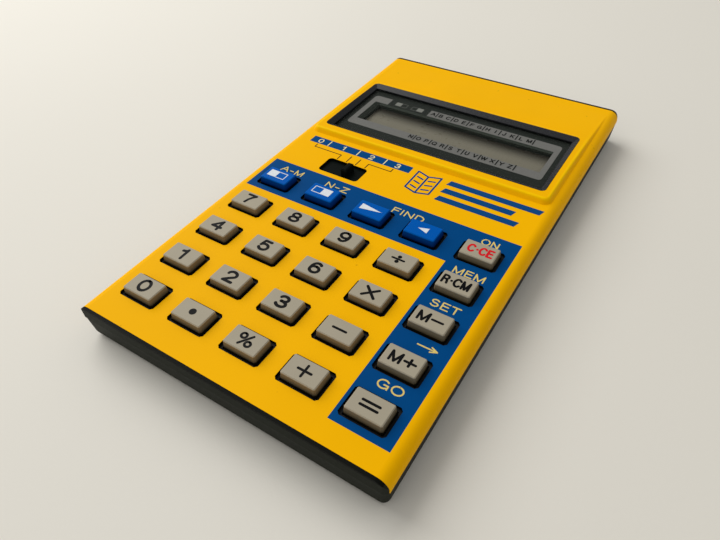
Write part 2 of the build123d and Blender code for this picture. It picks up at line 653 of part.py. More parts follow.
def key_mat():
    """Rubber sheet on the board with a hollow dome under every key and holes for the bosses."""
    half_x = (KEY_COLUMNS - 1) / 2 * KEY_PITCH_X + DOME_R + MAT_MARGIN
    back = KEY_TOP_ROW_Y + DOME_R + MAT_MARGIN
    front = KEY_TOP_ROW_Y - KEY_FIELD - DOME_R - SLIDE_GAP
    mat = block(2 * half_x, back - front, BOARD_TOP, BOARD_TOP + MAT_SHEET, 0, (back + front) / 2)
    outside = RegularPolygon(DOME_R, DOME_SIDES)
    inside = RegularPolygon(DOME_R - DOME_WALL, DOME_SIDES)
    mat += prisms(outside, key_centres(), BOARD_TOP, DOME_TOP, DOME_DRAFT_DEG)
    mat -= prisms(inside, key_centres(), BOARD_TOP, PILL_TOP, DOME_DRAFT_DEG)
    hole = small_round(BOARD_SCREW_R + SCREW_GAP + BOSS_WALL + SLIDE_GAP)
    return mat - prisms(hole, board_screws_at(), 0, TALL)


def key_pills():
    """Conductive pill in the roof of every dome."""
    return prisms(Rectangle(PILL_SIDE, PILL_SIDE), key_centres(), PILL_Z, PILL_TOP)


def main_board():
    """Circuit board with holes for its screws and notches for the case bosses."""
    middle = (BOARD_BACK_Y + BOARD_FRONT_Y) / 2
    length = BOARD_BACK_Y - BOARD_FRONT_Y
    board = block(2 * BOARD_HALF_X, length, BOARD_Z, BOARD_TOP, 0, middle)
    board -= prisms(small_round(CASE_BOSS_R + LOOSE_GAP), case_screws_at(), 0, TALL)
    return board - prisms(small_round(BOARD_SCREW_R + SLIDE_GAP), board_screws_at(), 0, TALL)


def leaded_chip(body_x, body_y, leads, sides):
    """Flat package with rows of leads on two or on all four sides."""
    base = BOARD_TOP + CHIP_LIFT
    package = block(body_x, body_y, base, base + CHIP_HEIGHT)
    chip = chamfer(package.edges() | Axis.Z, CHIP_CORNER)
    starts = [(step - (leads - 1) / 2) * LEAD_PITCH for step in range(leads)]
    knee = BOARD_TOP + LEAD_KNEE
    for side in (-1, 1):
        across = body_x / 2 + LEAD_REACH / 2
        foot = [(side * across, start) for start in starts]
        chip += prisms(Rectangle(LEAD_REACH, LEAD_WIDTH), foot, BOARD_TOP, knee)
        if sides == 4:
            across = body_y / 2 + LEAD_REACH / 2
            foot = [(start, side * across) for start in starts]
            chip += prisms(Rectangle(LEAD_WIDTH, LEAD_REACH), foot, BOARD_TOP, knee)
    return chip


def processor_chip():
    """Square processor package with leads on four sides."""
    chip = leaded_chip(PROCESSOR_SIZE, PROCESSOR_SIZE, PROCESSOR_LEADS, 4)
    return Pos(PROCESSOR_X, CHIP_Y) * chip


def memory_chip(x):
    """Word-list memory package with leads on its two long sides."""
    return Pos(x, CHIP_Y) * leaded_chip(MEMORY_WIDTH, MEMORY_LENGTH, MEMORY_LEADS, 2)


def timing_crystal():
    """Small metal can that lies on the board."""
    can = Rot(90, 0, 0) * Cylinder(CRYSTAL_R, CRYSTAL_LENGTH)
    return Pos(CRYSTAL_INSET - BOARD_HALF_X, CHIP_Y, BOARD_TOP + CRYSTAL_R) * can


def capacitor(place):
    """Upright capacitor can on a square foot."""
    x = CAPACITOR_INSET - BOARD_HALF_X + place * CAPACITOR_PITCH
    y = CHIP_Y + CAPACITOR_BEHIND_CHIP
    foot_top = BOARD_TOP + CAPACITOR_FOOT
    foot = block(2 * CAPACITOR_R, 2 * CAPACITOR_R, BOARD_TOP, foot_top, x, y)
    return foot + post(CAPACITOR_R - CAPACITOR_FOOT, foot_top, BOARD_TOP + CAPACITOR_HEIGHT, x, y)


def funnel_ring(half_x, half_y, front_z, back_z):
    """Four-sided section of the bezel's funnel, with its own height at each end."""
    front = [(-half_x, -half_y, front_z), (half_x, -half_y, front_z)]
    back = [(half_x, half_y, back_z), (-half_x, half_y, back_z)]
    return make_face(Polyline(*front, *back, close=True))


def bezel_slopes():
    """Funnel between the rim of the bezel and the window: four sloping walls."""
    low_z = WINDOW_TOP + BEZEL_STEP
    low_x = RIM_HALF_X - SLOPE_RUN_X
    low_y = RIM_HALF_Y - SLOPE_RUN_Y
    high_x = low_x + FUNNEL_OVERRUN * SLOPE_RUN_X
    high_y = low_y + FUNNEL_OVERRUN * SLOPE_RUN_Y
    front_rise = plateau_height(OPENING_CENTRE_Y - RIM_HALF_Y) - low_z
    back_rise = plateau_height(OPENING_CENTRE_Y + RIM_HALF_Y) - low_z
    front_z = low_z + FUNNEL_OVERRUN * front_rise
    back_z = low_z + FUNNEL_OVERRUN * back_rise
    low = funnel_ring(low_x, low_y, low_z, low_z)
    high = funnel_ring(high_x, high_y, front_z, back_z)
    funnel = loft([low, high])
    well = block(2 * low_x, 2 * low_y, 0, low_z)
    return Pos(0, OPENING_CENTRE_Y) * (funnel + well)


def display_bezel():
    """Dark frame in the display opening, its rim following the raised sheet."""
    outer_x = OPENING_WIDTH + 2 * BEZEL_FLANGE
    outer_y = OPENING_LENGTH + 2 * BEZEL_FLANGE
    neck_x = OPENING_WIDTH - 2 * SEAT_GAP
    neck_y = OPENING_LENGTH - 2 * SEAT_GAP
    place = Pos(0, OPENING_CENTRE_Y)
    flange = place * pad(outer_x, outer_y, OPENING_R + BEZEL_FLANGE, CHASSIS_TOP, TALL)
    neck = place * pad(neck_x, neck_y, OPENING_R - SEAT_GAP, CHASSIS_TOP, TALL)
    bezel = (flange & plateau(SHEET + SEAT_GAP)) + (neck & plateau(-BEZEL_PROUD))
    seat = Rectangle(WINDOW_X + 2 * SLIDE_GAP, WINDOW_Y + 2 * SLIDE_GAP)
    bezel -= prisms(seat, [(0, OPENING_CENTRE_Y)], 0, WINDOW_TOP + SCREW_GAP)
    return bezel - bezel_slopes()


def display_window():
    """Clear window seated between the chassis and the bezel's lip."""
    return pad(WINDOW_X, WINDOW_Y, WINDOW_R, WINDOW_Z, WINDOW_TOP, 0, OPENING_CENTRE_Y)


def cell_layer(size_y, bottom, top):
    """One flat layer of the liquid crystal cell."""
    return block(CELL_WIDTH, size_y, bottom, top, 0, VIEW_CENTRE_Y)


def cell_frame():
    """Moulded frame that backs the cell, with a slot for each connector strip."""
    half = (CELL_LENGTH - CELL_LEDGE) / 2
    length = CELL_LENGTH + 2 * FRAME_WALL
    top = GLASS_UNDER - CELL_FILM
    frame = block(CELL_WIDTH + 2 * FRAME_WALL, length, BOARD_TOP, top)
    slot = Rectangle(CELL_WIDTH - 2 * STRIP_MARGIN + 2 * SLIDE_GAP, STRIP_WIDTH + 2 * SLIDE_GAP)
    frame -= prisms(slot, [(0, -half), (0, half)], 0, TALL)
    lightening = block(CELL_WIDTH / 2 - FRAME_WALL, length / 2, 0, top - FRAME_WALL)
    frame -= Pos(-CELL_WIDTH / 4, 0) * lightening
    frame -= Pos(CELL_WIDTH / 4, 0) * lightening
    return Pos(0, VIEW_CENTRE_Y) * frame


def connector_strip(side):
    """Striped rubber strip between the board and the ledge of the front glass."""
    length = CELL_WIDTH - 2 * STRIP_MARGIN
    y = VIEW_CENTRE_Y + side * STRIP_OFFSET
    return block(length, STRIP_WIDTH, BOARD_TOP, GLASS_MIDDLE, 0, y)


def screws(places, radius, head_r, head_bottom, head_top, tip):
    """Pan-headed screws driven from below, each with a straight slot."""
    group = prisms(small_round(head_r), places, head_bottom, head_top)
    group += prisms(small_round(radius), places, head_top, tip)
    slot = Rectangle(2 * head_r, SCREW_SLOT)
    return group - prisms(slot, places, 0, head_bottom + SCREW_SLOT)


def case_screws():
    """Four screws that close the case, their heads sunk in the base."""
    return screws(
        case_screws_at(),
        CASE_SCREW_R,
        CASE_SCREW_HEAD_R,
        CASE_SCREW_SUNK,
        CASE_SCREW_SEAT,
        CASE_BOSS_TOP + SCREW_BITE,
    )


def board_screws():
    """Four screws that hold the board to the chassis."""
    return screws(
        board_screws_at(),
        BOARD_SCREW_R,
        BOARD_SCREW_HEAD_R,
        BOARD_Z - BOARD_SCREW_HEAD,
        BOARD_Z,
        BOARD_TOP + SCREW_BITE,
    )


def pieces():
    """Every piece by name."""
    rear = CELL_LENGTH - 2 * CELL_LEDGE
    made = {
        "lower_case": lower_case(),
        "top_panel": top_panel(),
        "inner_chassis": inner_chassis(),
        "display_bezel": display_bezel(),
        "display_window": display_window(),
        "cell_front_film": cell_layer(rear, GLASS_TOP, CELL_TOP),
        "cell_front_glass": cell_layer(CELL_LENGTH, GLASS_MIDDLE, GLASS_TOP),
        "cell_rear_glass": cell_layer(rear, GLASS_UNDER, GLASS_MIDDLE),
        "cell_reflector": cell_layer(rear, GLASS_UNDER - CELL_FILM, GLASS_UNDER),
        "cell_frame": cell_frame(),
        "connector_strip_front": connector_strip(-1),
        "connector_strip_rear": connector_strip(1),
        "main_board": main_board(),
        "processor_chip": processor_chip(),
        "memory_chip_left": memory_chip(MEMORY_LEFT_X),
        "memory_chip_right": memory_chip(MEMORY_RIGHT_X),
        "timing_crystal": timing_crystal(),
        "capacitor_left": capacitor(0),
        "capacitor_right": capacitor(1),
        "key_mat": key_mat(),
        "key_pills": key_pills(),
        "switch_tracks": switch_tracks(),
        "switch_knob": switch_knob(),
        "switch_wiper": switch_wiper(),
        "battery_cell_left": battery_cell(-1),
        "battery_cell_right": battery_cell(1),
        "battery_spring_left": battery_spring(-1),
        "battery_spring_right": battery_spring(1),
        "battery_cover": battery_cover(),
        "battery_link": battery_link(),
        "case_screws": case_screws(),
        "board_screws": board_screws(),
    }
    for row, names in enumerate(KEY_NAMES):
        for column, name in enumerate(names):
            made[f"key_{name}"] = key(row, column)
    return made


def main():
    os.makedirs("parts", exist_ok=True)
    for name, solid in pieces().items():
        export_step(solid, f"parts/{name}.step")


if __name__ == "__main__":
    main()
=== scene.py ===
"""Flat pocket electronic dictionary: finishes, printed legends, inner parts and the studio."""

import math
from contextlib import contextmanager

import bmesh
import bpy
from mathutils import Matrix, Vector


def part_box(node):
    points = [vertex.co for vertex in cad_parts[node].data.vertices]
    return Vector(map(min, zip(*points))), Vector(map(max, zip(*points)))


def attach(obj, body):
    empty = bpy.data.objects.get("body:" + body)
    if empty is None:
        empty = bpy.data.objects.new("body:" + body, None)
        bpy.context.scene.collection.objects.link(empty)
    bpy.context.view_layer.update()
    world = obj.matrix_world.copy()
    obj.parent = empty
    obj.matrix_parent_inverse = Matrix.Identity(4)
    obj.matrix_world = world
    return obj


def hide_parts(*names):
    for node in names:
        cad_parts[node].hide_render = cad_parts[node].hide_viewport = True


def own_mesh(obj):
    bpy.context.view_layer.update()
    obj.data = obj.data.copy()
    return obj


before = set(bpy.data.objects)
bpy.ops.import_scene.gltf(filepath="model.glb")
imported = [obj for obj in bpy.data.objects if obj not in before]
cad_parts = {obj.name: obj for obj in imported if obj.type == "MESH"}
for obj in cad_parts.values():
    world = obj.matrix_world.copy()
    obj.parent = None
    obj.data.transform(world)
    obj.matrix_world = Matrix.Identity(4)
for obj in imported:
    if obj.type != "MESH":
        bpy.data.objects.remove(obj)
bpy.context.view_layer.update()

bl_info = {
    "name": "Pocket Dictionary",
    "version": (1, 0, 0),
    "blender": (4, 5, 0),
    "location": "View3D > Sidebar > Dictionary",
    "description": "Finishes, legends and studio for a flat pocket electronic dictionary",
    "category": "Object",
}

MM = 0.001

# Keys from the display to the front, each row from left to right.
KEYS = ["key_" + name for name in (
    "set_left set_right forward back clear 7 8 9 divide recall 4 5 6 multiply memory_minus "
    "1 2 3 minus memory_plus 0 point percent plus equals"
).split()]
BLUE_KEYS = KEYS[:4]

# Top of the front sheet's flat, in metres and in millimetres.
PLATE_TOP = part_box("lower_case")[1].z
PLATE = PLATE_TOP / MM
# The raised display area in millimetres: where it starts, and half the width of its crest.
DISPLAY_FOOT = 13.4
CREST_HALF = 33.5
CREST_INNER = 32.7
# Half width of the sheet's flat, and the depth under its face from which the walls of its holes
# and its underside carry painted shade.
FLAT_HALF = 33.8
EDGE_SHADE_DEPTH = 0.07
# Blue printed fields in millimetres: left, right, front and rear edge.
PRINTED_FIELDS = (
    (-33.5, 33.7, -14.8, -2.4),
    (21.5, 33.7, -58.7, -2.4),
    (-31.1, -0.6, 8.85, 11.6),
)
# Levels inside the case in millimetres: floor of the display well, and top of the chips' leads.
WELL_FLOOR = 6.5
LEAD_TOP = 4.12
# The floor lies this little under the case, and spans this far each way.
FLOOR = -0.02 * MM
FLOOR_REACH = 2
# Sides of a stroke's round end. Strokes that cross lie at so many levels, this far apart.
CAP_SIDES = 16
STROKE_LEVELS = 4
OVERLAP = 0.004 * MM

# Letters in hundredths of their height: advance width, then strokes parted by slashes. A stroke
# is a row of points x,y and arcs centre x,y, radius x,y, first and last angle; or one dot,x,y.
LETTERS = {
    "0": (64, "32,50,30,50,90,450"),
    "1": (44, "6,78 19,82 28,90 32,100 / 32,100 32,0"),
    "2": (64, "32,71,27,29,175,-35 34,34 5,0 / 5,0 61,0"),
    "3": (64, "31,75.5,24,24.5,160,-90 / 31,25.5,28,25.5,90,-160 / 22,51 31,51"),
    "4": (68, "50,0 50,100 / 50,100 4,30 / 4,30 66,30"),
    "5": (64, "57,100 16,100 / 16,100 8,48 / 8,48 32,33,28,33,128,-155"),
    "6": (64, "33,31,27,31,90,450 / 35,50,29,50,50,180 6,31"),
    "7": (62, "3,100 58,100 / 58,100 41,74 28,42 21,0"),
    "8": (64, "32,76,23,24,90,450 / 32,26,28,26,90,450"),
    "9": (64, "31,69,27,31,90,450 / 29,50,29,50,230,360 58,69"),
    "A": (72, "0,0 36,100 / 36,100 72,0 / 13,35 59,35"),
    "B": (66, "6,0 6,100 / 6,100 34,76.5,23,23.5,90,-90 6,53 / 6,53 36,26.5,25,26.5,90,-90 6,0"),
    "C": (72, "38,50,35,50,42,318"),
    "D": (72, "6,0 6,100 / 6,100 28,50,38,50,90,-90 6,0"),
    "E": (60, "6,0 6,100 / 6,100 56,100 / 6,53 52,53 / 6,0 58,0"),
    "F": (56, "6,0 6,100 / 6,100 55,100 / 6,52 48,52"),
    "G": (76, "38,50,35,50,46,318 / 44,46 71,46 / 71,46 71,4"),
    "H": (68, "6,0 6,100 / 62,0 62,100 / 6,53 62,53"),
    "I": (16, "8,0 8,100"),
    "J": (50, "43,100 23,28,20,28,0,-175"),
    "K": (66, "6,0 6,100 / 62,100 6,38 / 26,60 65,0"),
    "L": (54, "6,100 6,0 / 6,0 53,0"),
    "M": (82, "6,0 6,100 / 6,100 41,0 / 41,0 76,100 / 76,100 76,0"),
    "N": (70, "6,0 6,100 / 6,100 64,0 / 64,0 64,100"),
    "O": (78, "39,50,36,50,90,450"),
    "P": (62, "6,0 6,100 / 6,100 34,74,24,26,90,-90 6,48"),
    "Q": (78, "39,50,36,50,90,450 / 50,22 74,-4"),
    "R": (68, "6,0 6,100 / 6,100 35,75,25,25,90,-90 6,50 / 36,50 50,43 56,28 61,0"),
    "S": (64, "32,75.5,24,24.5,25,255 32,26,27,26,78,-155"),
    "T": (62, "31,0 31,100 / 0,100 62,100"),
    "U": (68, "6,100 34,30,28,30,180,360 62,100"),
    "V": (66, "0,100 33,0 / 33,0 66,100"),
    "W": (94, "0,100 24,0 / 24,0 47,100 / 47,100 70,0 / 70,0 94,100"),
    "X": (66, "1,0 65,100 / 1,100 65,0"),
    "Y": (66, "0,100 33,45 / 66,100 33,45 / 33,45 33,0"),
    "Z": (62, "2,100 60,100 / 60,100 2,0 / 2,0 62,0"),
    "-": (44, "6,42 38,42"),
    "minus": (90, "6,50 84,50"),
    "plus": (90, "6,50 84,50 / 45,12 45,88"),
    "multiply": (90, "8,14 82,86 / 8,86 82,14"),
    "divide": (90, "4,50 86,50 / dot,45,80 / dot,45,20"),
    "equals": (90, "6,36 84,36 / 6,66 84,66"),
    "percent": (100, "23,76,17,22,90,450 / 77,24,17,22,90,450 / 24,0 76,100"),
    "point": (30, "dot,15,50"),
    "arrow": (130, "5,45 120,45 / 85,78 122,45 / 85,12 122,45"),
}


def linear(red, green, blue):
    """Scene-linear colour of display values from 0 to 255."""
    shares = [value / 255 for value in (red, green, blue)]
    return tuple(v / 12.92 if v <= 0.04045 else ((v + 0.055) / 1.055) ** 2.4 for v in shares)


def colour_property(name, description, display):
    """Colour that a user can change in the panel, given by its display values."""
    return bpy.props.FloatVectorProperty(
        name=name, description=description, default=linear(*display),
        subtype="COLOR", min=0.0, max=1.0,
    )


def number_property(name, description, default, **more):
    """Number that a user can change in the panel."""
    return bpy.props.FloatProperty(name=name, description=description, default=default, **more)


def length_property(name, description, default):
    """Length that a user can change in the panel, given in millimetres."""
    more = {"unit": "LENGTH", "subtype": "DISTANCE", "precision": 5, "min": 0.0}
    return number_property(name, description, default * MM, **more)


class FinishColours(bpy.types.PropertyGroup):
    """Colours of the enamel, plastics and inks."""

    enamel: colour_property("Sheet enamel", "Yellow of the front sheet", (252, 186, 0))
    field: colour_property("Printed field", "Blue printed on the front sheet", (0, 70, 130))
    key_grey: colour_property("Grey keys", "Colour of the number keys", (166, 158, 139))
    key_blue: colour_property("Blue keys", "Colour of the word keys", (0, 88, 178))
    case: colour_property("Case", "Colour of the lower case", (34, 37, 30))
    bezel: colour_property("Bezel", "Colour of the display frame", (40, 41, 44))
    mask: colour_property("Window mask", "Dark print behind the window", (39, 43, 40))
    ring: colour_property("Window ring", "Grey print round the clear area", (118, 117, 115))
    crystal: colour_property("Display field", "Colour of the idle display", (125, 119, 107))
    dark_ink: colour_property("Dark ink", "Legends on the grey keys", (10, 10, 12))
    red_ink: colour_property("Red ink", "Legend of the clear key", (214, 24, 36))
    white_ink: colour_property("White ink", "Signs on the blue keys", (225, 230, 236))
    yellow_ink: colour_property("Yellow ink", "Legends on the blue field", (228, 204, 118))


class LegendSizes(bpy.types.PropertyGroup):
    """Sizes of the printed legends."""

    digit_height: length_property("Digit height", "Height of the digits on the keys", 2.75)
    word_height: length_property("Word height", "Height of the letters on the keys", 2.05)
    small_height: length_property("Small height", "Height of the legends on the field", 1.75)
    digit_stroke: length_property("Digit stroke", "Width of a digit's stroke", 0.70)
    stroke: length_property("Stroke", "Width of the stroke of a word on a key", 0.52)
    fine_stroke: length_property("Fine stroke", "Width of the small legends' stroke", 0.31)
    ink: length_property("Ink", "Height of printed ink above its surface", 0.012)


class StudioSettings(bpy.types.PropertyGroup):
    """Floor, lamps and camera."""

    floor: colour_property("Floor", "Colour of the floor", (228, 225, 216))
    key_power: number_property("Key lamp", "Power of the large lamp", 5.7, unit="POWER")
    fill_power: number_property("Fill lamp", "Power of the low lamp", 0.5, unit="POWER")
    sky: number_property("Sky", "Strength of the light all round", 0.44, min=0.0)
    lens: number_property("Lens", "Focal length", 29.23, unit="CAMERA")


def colours():
    """The scene's finish colours."""
    return bpy.context.scene.dictionary_colours


def sizes():
    """The scene's legend sizes."""
    return bpy.context.scene.dictionary_legends


# Materials


class Term:
    """One number that a material works out; operators on it add Math nodes."""

    def __init__(self, finish, socket):
        self.finish = finish
        self.socket = socket

    def __add__(self, other):
        return self.finish.math("ADD", self, other)

    def __rsub__(self, other):
        return self.finish.math("SUBTRACT", other, self)

    def __mul__(self, other):
        return self.finish.math("MULTIPLY", self, other)

    def __abs__(self):
        return self.finish.math("ABSOLUTE", self, 0.0)

    __radd__ = __add__

    def above(self, edge, soft=0.02):
        """1 where the number is above an edge, 0 below it, with a short ramp between."""
        inputs = {"Value": self, "From Min": edge - soft, "From Max": edge + soft}
        settings = {"interpolation_type": "SMOOTHSTEP"}
        return self.finish.node("ShaderNodeMapRange", settings, inputs)

    def below(self, edge, soft=0.02):
        """1 where the number is below an edge, 0 above it."""
        return 1 - self.above(edge, soft)

    def between(self, low, high, soft=0.02):
        """1 inside a range."""
        return self.above(low, soft) * self.below(high, soft)


class Finish:
    """A node material round one Principled shader, with places in millimetres."""

    def __init__(self, name, **constants):
        self.material = bpy.data.materials.new(name)
        self.material.use_nodes = True
        self.tree = self.material.node_tree
        self.tree.nodes.clear()
        self.shader = self.tree.nodes.new("ShaderNodeBsdfPrincipled")
        self.output = self.tree.nodes.new("ShaderNodeOutputMaterial")
        self.tree.links.new(self.shader.outputs[0], self.output.inputs[0])
        self.set(**constants)
        coordinates = self.tree.nodes.new("ShaderNodeTexCoord").outputs["Object"]
        scale = {0: coordinates, "Scale": 1 / MM}
        self.place = self.node("ShaderNodeVectorMath", {"operation": "SCALE"}, scale)
        parts = self.tree.nodes.new("ShaderNodeSeparateXYZ")
        self.tree.links.new(self.place.socket, parts.inputs[0])
        self.x, self.y, self.z = [Term(self, socket) for socket in parts.outputs]

    def feed(self, socket, value):
        """Links a socket to a term or another socket, or sets it to a plain value."""
        value = value.socket if isinstance(value, Term) else value
        if isinstance(value, bpy.types.NodeSocket):
            self.tree.links.new(value, socket)
        else:
            socket.default_value = value

    def node(self, kind, settings, inputs, output=0):
        """Adds a node, sets it up, feeds its sockets and gives one of its outputs."""
        made = self.tree.nodes.new(kind)
        for key, value in settings.items():
            setattr(made, key, value)
        for key, value in inputs.items():
            self.feed(made.inputs[key], value)
        return Term(self, made.outputs[output])

    def set(self, **inputs):
        """Feeds sockets of the shader."""
        for name, value in inputs.items():
            title = name.replace("_", " ").title().replace("Ior", "IOR")
            self.feed(self.shader.inputs[title], value)

    def close(self, colour, roughness, relief, depth):
        """Material with its colour, roughness, and a relief so many millimetres deep."""
        inputs = {"Distance": depth * MM, "Height": relief}
        normal = self.node("ShaderNodeBump", {}, inputs)
        self.set(Base_Color=colour, Roughness=roughness, Normal=normal)
        return self.material

    def math(self, operation, first, second):
        """A Math node on two numbers."""
        return self.node("ShaderNodeMath", {"operation": operation}, {0: first, 1: second})

    def mix(self, first, second, share):
        """Blend of two colours, each a term or three plain channels."""
        first, second = [c if isinstance(c, Term) else (*c[:3], 1.0) for c in (first, second)]
        inputs = {0: share, 6: first, 7: second}
        return self.node("ShaderNodeMix", {"data_type": "RGBA"}, inputs, 2)

    def shades(self, colour, dark, light, share):
        """Blend of a colour made darker and the same colour made lighter."""
        return self.mix(tint(colour, dark), tint(colour, light), share)

    def noise(self, size, detail=2.0, where=None):
        """Cloudy noise whose features are about that many millimetres."""
        inputs = {"Vector": where or self.place, "Scale": 1 / size, "Detail": detail}
        return self.node("ShaderNodeTexNoise", {}, inputs)

    def cells(self, size):
        """Distance to scattered points that are about that many millimetres apart."""
        return self.node("ShaderNodeTexVoronoi", {}, {"Vector": self.place, "Scale": 1 / size})

    def box(self, x0, x1, y0, y1, soft=0.03):
        """1 inside a rectangle in plan."""
        return self.x.between(x0, x1, soft) * self.y.between(y0, y1, soft)

    def either(self, first, second):
        """The larger of two masks."""
        return self.math("MAXIMUM", first, second)

    def specks(self, size, share):
        """Sparse small spots: 1 in a speck, 0 elsewhere."""
        spots = self.cells(size).below(0.16, 0.05)
        return spots * self.noise(size * 3.1, 1.0).above(1 - share, 0.02)


def tint(colour, factor):
    """A colour made lighter or darker."""
    return tuple(min(1.0, channel * factor) for channel in tuple(colour)[:3])


def printed_field(finish):
    """Mask of the blue fields printed on the front sheet."""
    across, column, scale = [finish.box(*field) for field in PRINTED_FIELDS]
    return finish.either(finish.either(across, column), scale) * finish.z.above(PLATE - 0.25)


def painted_crest_highlight(finish, soft=0.3):
    """Mask of the painted highlight along the raised display area's rounded front and side crests.
    """
    front = finish.y.between(DISPLAY_FOOT + 0.6, DISPLAY_FOOT + 1.5, soft)
    front = front * finish.x.between(-CREST_HALF, CREST_HALF, soft)
    flanks = abs(finish.x).between(CREST_INNER, CREST_HALF, soft)
    flanks = flanks * finish.y.above(DISPLAY_FOOT + 1.0, soft)
    return finish.either(front, flanks) * finish.z.above(PLATE + 0.7, soft)


def sheet_enamel():
    """Satin enamel with its printed blue fields, faint orange peel, dust, a painted highlight
    along the display area's crests, and painted shade on the walls of its holes and its underside.
    """
    finish = Finish("sheet_enamel", specular_ior_level=0.02)
    yellow, blue = colours().enamel, colours().field
    enamel = finish.shades(yellow, 0.95, 1.04, finish.noise(18.0, 3.0))
    enamel = finish.mix(enamel, tint(yellow, 0.55), finish.specks(1.5, 0.33) * 0.5)
    # Painted highlight: the enamel is made lighter along the display area's crests.
    enamel = finish.mix(enamel, tint(yellow, 1.22), painted_crest_highlight(finish) * 0.9)
    field = finish.shades(blue, 0.92, 1.10, finish.noise(6.0, 4.0))
    paint = finish.mix(enamel, field, printed_field(finish))
    # Painted shade: below the flat, the walls of the holes and the underside of the sheet are
    # painted near-black.
    hole_edge_shade = finish.z.below(PLATE - EDGE_SHADE_DEPTH) * abs(finish.x).below(FLAT_HALF)
    paint = finish.mix(paint, linear(14, 14, 13), hole_edge_shade)
    peel = finish.noise(0.55) * 0.5 + finish.noise(0.12, 1.0) * 0.1
    return finish.close(paint, 0.36 + finish.noise(9.0, 4.0) * 0.10, peel, 0.010)


def grained_plastic(name, colour, grain, depth, roughness, specks=0.10, gloss=0.25, lip=None):
    """Moulded plastic with a spark-eroded grain and a little dust; above the lip it is darker."""
    finish = Finish(name, specular_ior_level=gloss)
    body = finish.shades(colour, 0.86, 1.14, finish.noise(7.0, 4.0))
    body = finish.mix(body, tint(colour, 2.4), finish.specks(1.7, 0.32) * specks)
    if lip:
        body = finish.mix(body, tint(colour, 0.25), finish.z.above(lip, 0.12))
    rough = (roughness - 0.06) + finish.noise(grain * 2) * 0.14
    return finish.close(body, rough, finish.noise(grain), depth)


def chassis_plastic():
    """Dark moulded frame; behind the display window it is painted a greyer green as painted shade,
    standing in for the display field in shade.
    """
    finish = Finish("chassis_plastic", specular_ior_level=0.10)
    # Painted shade: behind the display window the frame takes the grey-green of the display field
    # in shade.
    well_shade = finish.y.above(DISPLAY_FOOT + 3.0) * finish.z.above(WELL_FLOOR)
    body = finish.mix(linear(26, 26, 27), linear(54, 60, 54), well_shade)
    body = finish.mix(body, linear(12, 12, 12), finish.noise(4.0, 3.0) * 0.3)
    return finish.close(body, 0.48 + finish.noise(1.0) * 0.14, finish.noise(0.5), 0.010)


def key_plastic(name, colour, wall_shade, roughness, gloss):
    """Keycap: smooth moulding with a few dark specks; its walls carry painted shade, deeper
    towards the foot, with a near-black painted shadow below the sheet.
    """
    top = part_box("key_5")[1].z / MM
    finish = Finish(name, specular_ior_level=gloss)
    body = finish.shades(colour, 0.95, 1.05, finish.noise(5.0, 3.0))
    # Painted shade on the walls below the top's edge, deeper towards the foot, and a near-black
    # painted shadow where the walls go below the sheet; the last layer is dark specks.
    layers = (
        (wall_shade, finish.z.below(top - 0.30, 0.12) * 0.70),
        (tint(wall_shade, 0.5), finish.z.below(PLATE + 0.45, 0.55) * 0.7),
        (tint(wall_shade, 0.06), finish.z.below(PLATE, 0.15) * 0.95),
        (tint(colour, 0.5), finish.specks(1.9, 0.30) * 0.5),
    )
    for layer, share in layers:
        body = finish.mix(body, layer, share)
    rough = (roughness - 0.05) + finish.noise(1.2, 3.0) * 0.12
    return finish.close(body, rough, finish.noise(0.22), 0.006)


def ink(name, colour, roughness=0.4):
    """Printed ink with a slightly uneven body."""
    finish = Finish(name, specular_ior_level=0.05)
    body = finish.shades(colour, 0.85, 1.12, finish.noise(0.5, 3.0))
    rough = (roughness - 0.05) + finish.noise(0.8) * 0.1
    return finish.close(body, rough, finish.noise(0.15), 0.003)


def window_pane():
    """Clear pane: see-through, with the sheen of its surface and a little dust."""
    finish = Finish("window_pane", specular_ior_level=1.0)
    dust = finish.specks(1.1, 0.30)
    body = finish.mix((0.05, 0.05, 0.05), (0.5, 0.49, 0.46), dust)
    finish.set(Base_Color=body, Roughness=0.05 + dust * 0.5)
    clear = finish.node("ShaderNodeBsdfTransparent", {}, {"Color": (0.97, 0.98, 0.97, 1.0)})
    facing = finish.node("ShaderNodeLayerWeight", {}, {"Blend": 0.5}, "Facing")
    sheen = finish.math("POWER", facing, 5) * 0.5 + 0.008
    share = finish.math("MINIMUM", sheen + dust * 0.06, 1.0)
    shaders = {0: share, 1: clear, 2: finish.shader.outputs[0]}
    blend = finish.node("ShaderNodeMixShader", {}, shaders)
    finish.tree.links.new(blend.socket, finish.output.inputs[0])
    return finish.material


def crystal_field():
    """Idle liquid crystal field: grey film with faint electrode rows, in shade at the rear."""
    finish = Finish("crystal_field", specular_ior_level=0.15)
    grey = colours().crystal
    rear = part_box("cell_front_film")[1].y / MM
    rows = finish.math("PINGPONG", finish.x, 0.6).above(0.52, 0.05)
    body = finish.shades(grey, 1.0, 1.10, finish.noise(14.0))
    body = finish.mix(body, tint(grey, 0.93), rows * 0.5)
    body = finish.mix(body, tint(grey, 0.16), finish.y.above(rear - 4.0, 2.6))
    return finish.close(body, 0.24 + finish.noise(3.0) * 0.1, finish.noise(0.3), 0.004)


def cell_glass():
    """Edge-on glass of the cell."""
    finish = Finish("cell_glass")
    body = finish.mix((0.30, 0.34, 0.31), (0.38, 0.42, 0.38), finish.noise(8.0))
    finish.set(Base_Color=body, Roughness=0.06 + finish.noise(2.0) * 0.08)
    return finish.material


def metal(name, colour, roughness, along=(1.0, 14.0, 14.0)):
    """Drawn or rolled metal with its grain along one axis."""
    finish = Finish(name, metallic=1.0)
    inputs = {0: finish.place, 1: along}
    drawn = finish.node("ShaderNodeVectorMath", {"operation": "MULTIPLY"}, inputs)
    grain = finish.noise(0.9, 4.0, drawn)
    body = finish.shades(colour, 0.85, 1.08, grain)
    stain = finish.noise(2.4, 4.0).above(0.66, 0.08)
    body = finish.mix(body, tint(colour, 0.4), stain * 0.5)
    return finish.close(body, (roughness - 0.08) + grain * 0.2, grain, 0.006)


